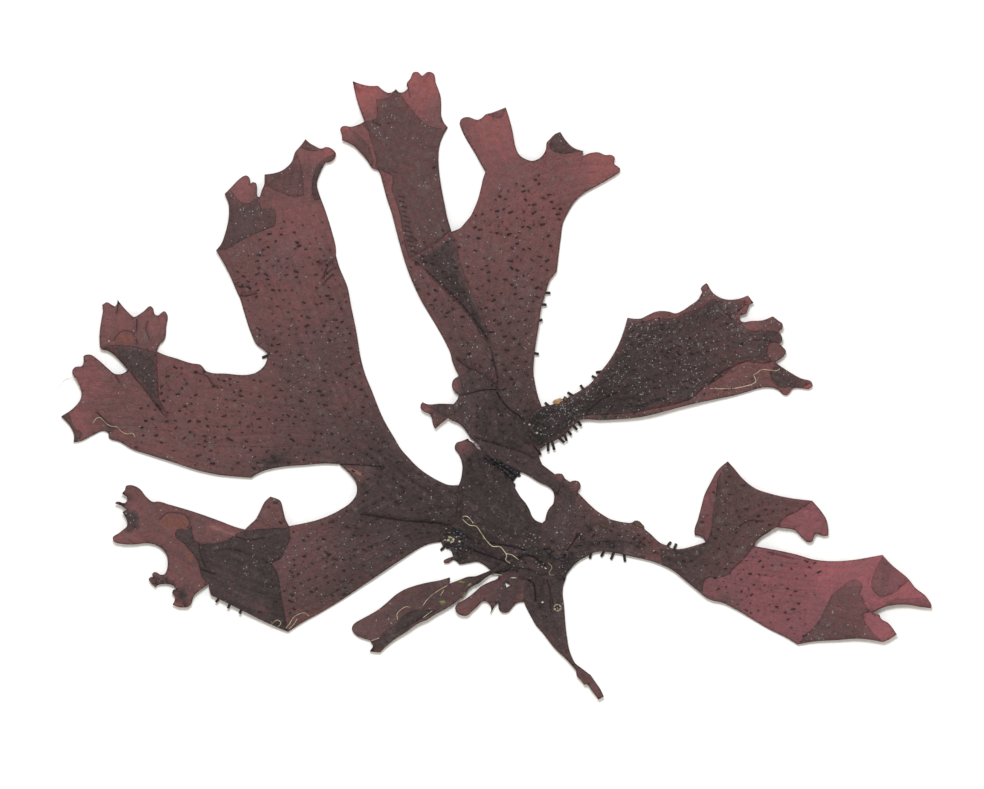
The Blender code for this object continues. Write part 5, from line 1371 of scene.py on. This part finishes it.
# Threads
# Fine filaments of another alga and of hydroids that had caught on the thallus and dried onto it.
# They are pale gold, and lie along whatever blade they cross.
THREAD_PROFILE = [(0.0, 0.6), (0.1, 1.0), (0.9, 1.0), (1.0, 0.5)]
THREAD_STEP = 0.0003
THREAD_RISE = 0.8          # height of a thread's middle over the blade, in radii
THREAD_SPAN = 3            # a thread is stiff, and rides as high as the blades within this many steps
THREADS = {                # slot, radius and lines
    "crown_thread": ("crown_thallus", 0.00006, [
        [(462.6, 517.2), (464.1, 516.2), (467.7, 516.7), (470.3, 519.2), (473.3, 523.3)],
        [(462.6, 519.2), (466.2, 522.8), (470.3, 525.4), (475.4, 525.9), (481.5, 533.6), (486.7, 540.8),
         (492.8, 546.4), (500, 546.7), (504.1, 551), (506.7, 556.2), (505.6, 559.7), (510.3, 563.3)],
        [(506.2, 553.6), (511.3, 554.6), (518.5, 559.7)],
    ]),
    "crown_curl": ("crown_thallus", 0.00003, [
        [(547.9, 562.9), (551, 565.5), (552, 568.6), (549.3, 571.5), (549.3, 574.3), (554.3, 575)],
    ]),
    "right_upper_thread": ("right_upper_thallus", 0.00005, [
        [(710, 388.5), (724, 388.8), (735.4, 388.2), (744, 386.4), (752.3, 384), (756, 381.4), (755, 377.9),
         (753.7, 375), (758, 372.3), (760, 370.4), (769.3, 370), (777.7, 370.4), (779.8, 368.7)],
    ]),
    "left_tip_thread": ("left_thallus", 0.00004, [
        [(56, 388.5), (61, 385), (64, 380.5), (69, 378), (75, 378), (78, 383), (80, 388)],
        [(93, 423), (97, 418), (100, 417.5), (104, 421), (110, 426), (117, 427), (121, 431), (127, 434),
         (133, 433.5), (135, 437)],
    ]),
    "left_hem_threads": ("left_thallus", 0.00004, [
        [(270, 627), (273, 622.5), (278, 620), (281, 623), (277, 627.5)],
        [(286, 628), (290, 623), (293, 618), (299, 614), (305, 613), (309, 616)],
        [(289, 629), (294, 624), (297, 619)],
    ]),
    "small_blade_threads": ("small_blade_thallus", 0.00004, [
        [(397.7, 620), (397, 614), (401, 609.6), (406.3, 606.7), (410.4, 607.3)],
        [(422.5, 606), (427.7, 599), (435.7, 592.3), (447.3, 585.4)],
        [(440.3, 595.8), (443.8, 590)],
        [(423, 617.7), (432.3, 610.7)],
        [(371, 641), (374.5, 639.6), (379, 638)],
    ]),
}

thread_tree = rod_tree("dried threads", THREAD_PROFILE)
thread_tissue = plain_tissue("dried filament, golden", "D0C4A4", "9F8F71", 0.0008, 0.45)
for name, (slot, radius, lines) in THREADS.items():
    laid = []
    for line in lines:
        path = trace(line, THREAD_STEP, closed=False)
        heights = np.array([top_of_blades(x, y) for x, y in path])
        spread = np.pad(heights, THREAD_SPAN, "edge")
        highest = [spread[k:k + len(heights)] for k in range(2 * THREAD_SPAN + 1)]
        eased = np.convolve(np.pad(np.max(highest, axis=0), 2, "edge"), np.full(5, 0.2), "valid")
        laid.append([(x, y, z + radius * THREAD_RISE) for (x, y), z in zip(path, eased)])
    thread = grown(
        name, chains(name, laid), thread_tree, Radius=radius, Sides=ROD_SIDES, Material=thread_tissue,
    )
    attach(thread, "root")


# Crusts, barnacle and scraps
# Small sea life and grit that dried onto the thallus: lime crusts, one barnacle, scraps of other weed, sand.
# Some of the pale specks are painted highlights and glints.
# Each follows the surface that it sits on and has a ragged rim.
SCRAP_SIDES = 18
SCRAP_RAGGED = 0.22        # how far the rim strays, as a share of its reach
SCRAP_DROOP = 0.0004       # how far a stiff dry scrap hangs down over a margin at most
SCRAP_PROFILE = [(1.0, -0.5), (1.0, 0.35), (0.7, 0.9), (0.3, 1.0)]   # reach and rise, from rim to middle
SCRAP_GRAIN = 0.0004       # size of the flecks in its colour
SCRAPS = {   # slot, surface, two colours, height, and each patch's place, half length, half width and turn
    "knot_crust": ("crown_thallus", "pale lime crust", "A8A48C", "5A564A", 0.0003, [
        (450.5, 537.4, 2.4, 1.2, 0.3), (448.4, 540.2, 1.8, 1.4, -0.5), (452, 541.8, 2.4, 1.3, -0.4),
        (444.8, 540, 1.3, 1, 0), (453.4, 539.4, 1.4, 1.6, 0), (449.6, 532.8, 1.7, 0.8, 0),
        (459.6, 541.6, 1.5, 1.1, 0.6), (456.6, 537, 1, 0.8, 0), (456, 548.6, 1, 0.7, 0.3),
        (446.4, 528.6, 0.9, 0.7, 0), (433.6, 519.6, 1, 0.8, 0),
    ]),
    "barnacle": ("tail_thallus", "barnacle plates, worn", "B9AF9C", "6E665A", 0.0004, [
        (559.9, 605.8, 1.9, 0.9, 0.8), (560.4, 608.8, 1.5, 1.1, 1.8), (557.8, 610.6, 2.6, 1.1, -0.2),
        (554.9, 609.2, 1.7, 1.1, 0.7), (554.8, 606, 1.7, 0.7, -1.0), (557.2, 604.7, 1.5, 0.6, -0.2),
        (557.4, 608.2, 1.4, 0.6, 0.6),
    ]),
    "small_blade_film": ("small_blade_thallus", "dried green film", "6F6F42", "4E4A32", 0.00005, [
        (442.7, 602.7, 3, 2.4, 0), (461.5, 581.8, 4.6, 1.1, 0.1), (469.5, 584.5, 2.6, 1, -0.5),
        (463.5, 595.5, 4, 0.8, -1.0),
    ]),
    "tan_scrap": ("right_upper_thallus", "dried weed scrap, tan", "AC8E66", "7A6040", 0.0003, [
        (557.5, 401.2, 5.6, 2.3, -0.4),
    ]),
    "dark_scrap": ("right_upper_thallus", "dried weed scrap, dark", "3A322E", "5A5048", 0.0004, [
        (565.2, 398.8, 2.6, 2.4, 0),
    ]),
    "brown_crust": ("right_lower_thallus", "dried weed crust, brown", "574638", "3A2F28", 0.0003, [
        (638.4, 524.5, 5.5, 2.6, 0.45), (603.6, 525.7, 4, 1.6, 0.5),
    ]),
    "lens_films": ("left_thallus", "tissue lens, orange brown", "6C433B", "5A3A35", 0.00003, [
        (175, 521.5, 13, 6.5, 0.1), (126, 338.5, 9, 5, 0), (189, 556, 7, 3.2, 1.0),
    ]),
    "bleached_streaks": ("left_thallus", "bleached tissue, tan pink", "7C5850", "664843", 0.00003, [
        (216, 528.5, 8, 1.7, 0.3), (229, 533.5, 7, 1.3, 0.25), (356, 472, 9, 1.6, 0.45),
    ]),
    "blade_crumbs": ("right_upper_thallus", "broken papillae, black", "1F1C1E", "3C3B3F", 0.0003, [
        (638, 407.5, 2.6, 1.4, 0.2), (644, 405.5, 2.4, 1.4, 0.4), (653, 400.5, 2.6, 1.6, 0.2),
        (658.5, 399.5, 2.6, 1.5, 0), (664, 398, 2.2, 1.4, 0.4), (604.5, 417, 2.2, 1.3, 0.1),
    ]),
    "black_crumbs": ("crown_thallus", "broken papillae, black", "1F1C1E", "3C3B3F", 0.0004, [
        (488, 459.5, 3, 1.7, 0.6), (493, 462.5, 2.4, 1.8, 0), (498.5, 462.5, 2.6, 1.4, 0.6),
        (503, 465, 2, 1.6, 0), (507, 467.5, 2.6, 1.4, 0.5), (511, 470, 2.2, 1.6, 0),
        (515, 472.5, 2.4, 1.6, 0.6), (519, 475.5, 1.8, 1.4, 0), (513, 477.5, 1.6, 1.3, 0),
        (508, 474, 1.8, 1.3, 0.4), (501, 469, 1.6, 1.2, 0), (496, 466.5, 1.6, 1.2, 0),
        (451, 528, 3.4, 1.2, 0.1), (458, 529.5, 3, 1.1, 0), (465, 546, 2.6, 1.4, 0.4),
        (445, 533, 2.4, 1.6, 0.4), (456, 534, 2.4, 1.6, 0), (461, 538, 2.2, 1.6, 0.3),
        (457, 546, 2.4, 1.7, 0.2), (447, 547, 2.2, 1.5, 0.8), (549, 551.5, 4.6, 2.4, 0.6),
        (556, 557, 4.6, 2, 0.5), (562, 559.5, 3, 1.8, 0.2), (508, 568, 2.6, 1.6, -0.5),
        (512, 571, 2, 1.4, 0), (504, 570, 2, 1.3, -0.5), (540, 552, 2.4, 1.4, 0.7),
    ]),
    "stalk_crumbs": ("right_lower_thallus", "broken papillae, black", "221E1F", "3E3838", 0.00035, [
        (577.9, 534.3, 2.4, 1.5, 0.2), (582, 538, 2.6, 1.6, 0.4), (580, 544.5, 2.8, 1.5, 0),
        (588.6, 526.5, 2, 1.3, 0.6), (588, 531, 2, 1.3, 0), (611.4, 545.7, 3, 2.2, 0.1),
        (618.6, 534.3, 2.2, 1.5, 0.4), (634.3, 538, 2.2, 1.6, 0), (638, 546.4, 2, 1.3, 0),
        (643.6, 544.3, 2, 1.2, 0.4), (655, 552, 2, 1.3, 0.2),
    ]),
    "film_scrap": ("crown_thallus", "pale film of mucus", "958688", "6E6064", 0.0001, [
        (477.2, 446, 5.2, 1.5, 0.8),
    ]),
    # Pale flecks: shell and quartz sand, and painted glints where they sit on the black crumbs of the right
    # lower frond's stalk
    "shell_flecks_and_glints": ("crown_thallus", "shell and quartz sand, painted glints", "B9B4A8", "8A847A", 0.0002, [
        (529.5, 424.6, 1.3, 1, 0), (537, 433, 1.2, 1, 0), (556.9, 532.5, 1.1, 0.8, 0),
        (581.3, 534.3, 0.9, 0.7, 0), (581.8, 544.6, 1.1, 0.7, 0), (654, 551, 1, 0.7, 0),
        (542.6, 602.3, 1.2, 1.1, 0), (496, 574.8, 5, 1, -0.05), (391.3, 623.2, 1, 0.6, 0.4),
        (109, 341, 1.2, 1, 0), (545.7, 568.4, 1.3, 0.7, 0.6), (513.5, 577.8, 3.6, 0.6, 0),
        (612, 544.6, 0.9, 0.6, 0), (526, 541, 0.7, 0.5, 0), (529, 539, 0.6, 0.5, 0),
        (532, 540.5, 0.7, 0.5, 0), (535.4, 538, 0.6, 0.6, 0), (539.6, 537.4, 0.7, 0.5, 0),
        (524, 545, 0.6, 0.5, 0), (522.8, 548.2, 0.7, 0.5, 0), (536, 562, 0.7, 0.5, 0),
        (539, 564.6, 0.6, 0.5, 0), (538, 567.4, 0.7, 0.5, 0), (542, 566.8, 0.7, 0.6, 0),
        (543.4, 563.6, 0.6, 0.5, 0),
    ]),
    # Grey specks: sand, and on the knot painted highlights on its glossy dark surface
    "sand_and_highlight_specks": ("crown_thallus", "fine grey sand and painted highlights", "6C737C", "4C5056", 0.0003, [
        (499, 461, 0.8, 0.6, 0), (500.3, 464.7, 0.9, 0.6, 0), (504.6, 470.4, 0.9, 0.7, 0),
        (507.4, 472, 1, 0.6, 0.3), (510.3, 475.4, 0.9, 0.7, 0), (513.3, 475.4, 0.8, 0.6, 0),
        (517.4, 472.6, 0.9, 0.6, 0), (459, 536.5, 1, 0.7, 0), (462, 541, 0.9, 0.7, 0),
        (455, 537, 1, 0.6, 0), (448, 532.5, 0.9, 0.6, 0), (453, 548, 0.9, 0.6, 0), (444, 537, 1, 0.8, 0),
        (457, 531.5, 1, 0.7, 0), (464, 536, 0.9, 0.7, 0), (459, 545, 0.9, 0.7, 0),
        (450, 549, 1.1, 0.8, 0), (456, 551, 1, 0.7, 0.4), (461, 534, 1.2, 0.8, 0.3),
        (443, 541, 1.1, 0.8, 0), (460.5, 548.5, 1.1, 0.8, 0.5), (454, 533, 1.2, 0.8, 0),
        (466, 540, 1, 0.7, 0.2), (530, 546, 1, 0.7, 0), (524, 552, 0.9, 0.7, 0), (536, 549, 0.9, 0.6, 0),
        (540, 560, 1, 0.7, 0), (497, 600, 1, 0.8, 0), (500, 596, 0.8, 0.6, 0), (494, 604, 0.9, 0.6, 0),
    ]),
}

wobble = np.random.default_rng(4)
angles = np.linspace(0, 2 * np.pi, SCRAP_SIDES, endpoint=False)
for name, (slot, surface_name, tint, fleck, height, patches) in SCRAPS.items():
    corners, faces = [], []
    for x, y, long, short, turned in patches:
        start = len(corners)
        (middle_x, middle_y), = place([(x, y)])
        ragged = 1 + SCRAP_RAGGED * wobble.uniform(-1, 1, SCRAP_SIDES)
        flat = []
        for share, rise in SCRAP_PROFILE:
            for angle, reach in zip(angles, ragged):
                across = np.array([long * np.cos(angle), short * np.sin(angle)]) * UNIT * share * reach
                px = middle_x + across[0] * np.cos(turned) + across[1] * np.sin(turned)
                py = middle_y - across[0] * np.sin(turned) + across[1] * np.cos(turned)
                flat.append((px, py, rise, top_of_blades(px, py)))
        lowest = max(base for *_, base in flat) - SCRAP_DROOP
        corners += [(px, py, max(base, lowest) + height * rise) for px, py, rise, base in flat]
        rings = [range(a, a + SCRAP_SIDES) for a in range(start, len(corners), SCRAP_SIDES)]
        for ring, next_ring in zip(rings, rings[1:]):
            for i in range(SCRAP_SIDES):
                j = (i + 1) % SCRAP_SIDES
                faces.append((ring[i], ring[j], next_ring[j], next_ring[i]))
        faces += [rings[0][::-1], rings[-1]]
    mesh = bpy.data.meshes.new(name)
    mesh.from_pydata(corners, [], faces)
    mesh.materials.append(plain_tissue(surface_name, tint, fleck, SCRAP_GRAIN, 0.7))
    scrap = in_scene(name, mesh)
    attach(scrap, "root")


# Floor, light and camera
# A sheet of white paper lit evenly, with a little more light from the top of the picture.
# It is seen from straight above, as on a scanner.
PICTURE = (984, 789)       # width and height in plate units
PAPER = 0.6                # half the sheet's side
PAPER_DROP = 0.00002       # how far it lies below the thallus
CAMERA_HEIGHT = 0.4

paper_mesh = bpy.data.meshes.new("paper")
paper_corners = [(x * PAPER, y * PAPER, -PAPER_DROP) for x, y in ((-1, -1), (1, -1), (1, 1), (-1, 1))]
paper_mesh.from_pydata(paper_corners, [], [(0, 1, 2, 3)])
paper_mesh.materials.append(plain_tissue("white paper", "FAFAF8", "F6F6F4", 0.002, 0.9))
paper = in_scene("paper", paper_mesh)

world = bpy.data.worlds.new("soft studio")
world.use_nodes = True
world.node_tree.nodes["Background"].inputs["Color"].default_value = (1, 0.96, 0.88, 1)
world.node_tree.nodes["Background"].inputs["Strength"].default_value = 0.74
bpy.context.scene.world = world

lamp = bpy.data.lights.new("softbox", "AREA")
lamp.shape = "DISK"
lamp.size = 0.22
lamp.energy = 6.2
lamp.color = (0.99, 1, 1.06)
softbox = in_scene("softbox", lamp)
softbox.location = (-0.06, 0.32, 0.94)
softbox.rotation_euler = (-Vector(softbox.location)).to_track_quat("-Z", "Y").to_euler()

lens = bpy.data.cameras.new("camera")
lens.type = "ORTHO"
lens.ortho_scale = PICTURE[0] * UNIT
lens.clip_start = 0.01
camera = in_scene("camera", lens)
(middle_x, middle_y), = place([(PICTURE[0] / 2, PICTURE[1] / 2)])
camera.location = (middle_x, middle_y, CAMERA_HEIGHT)
bpy.context.scene.camera = camera
bpy.context.scene.view_settings.view_transform = "Standard"
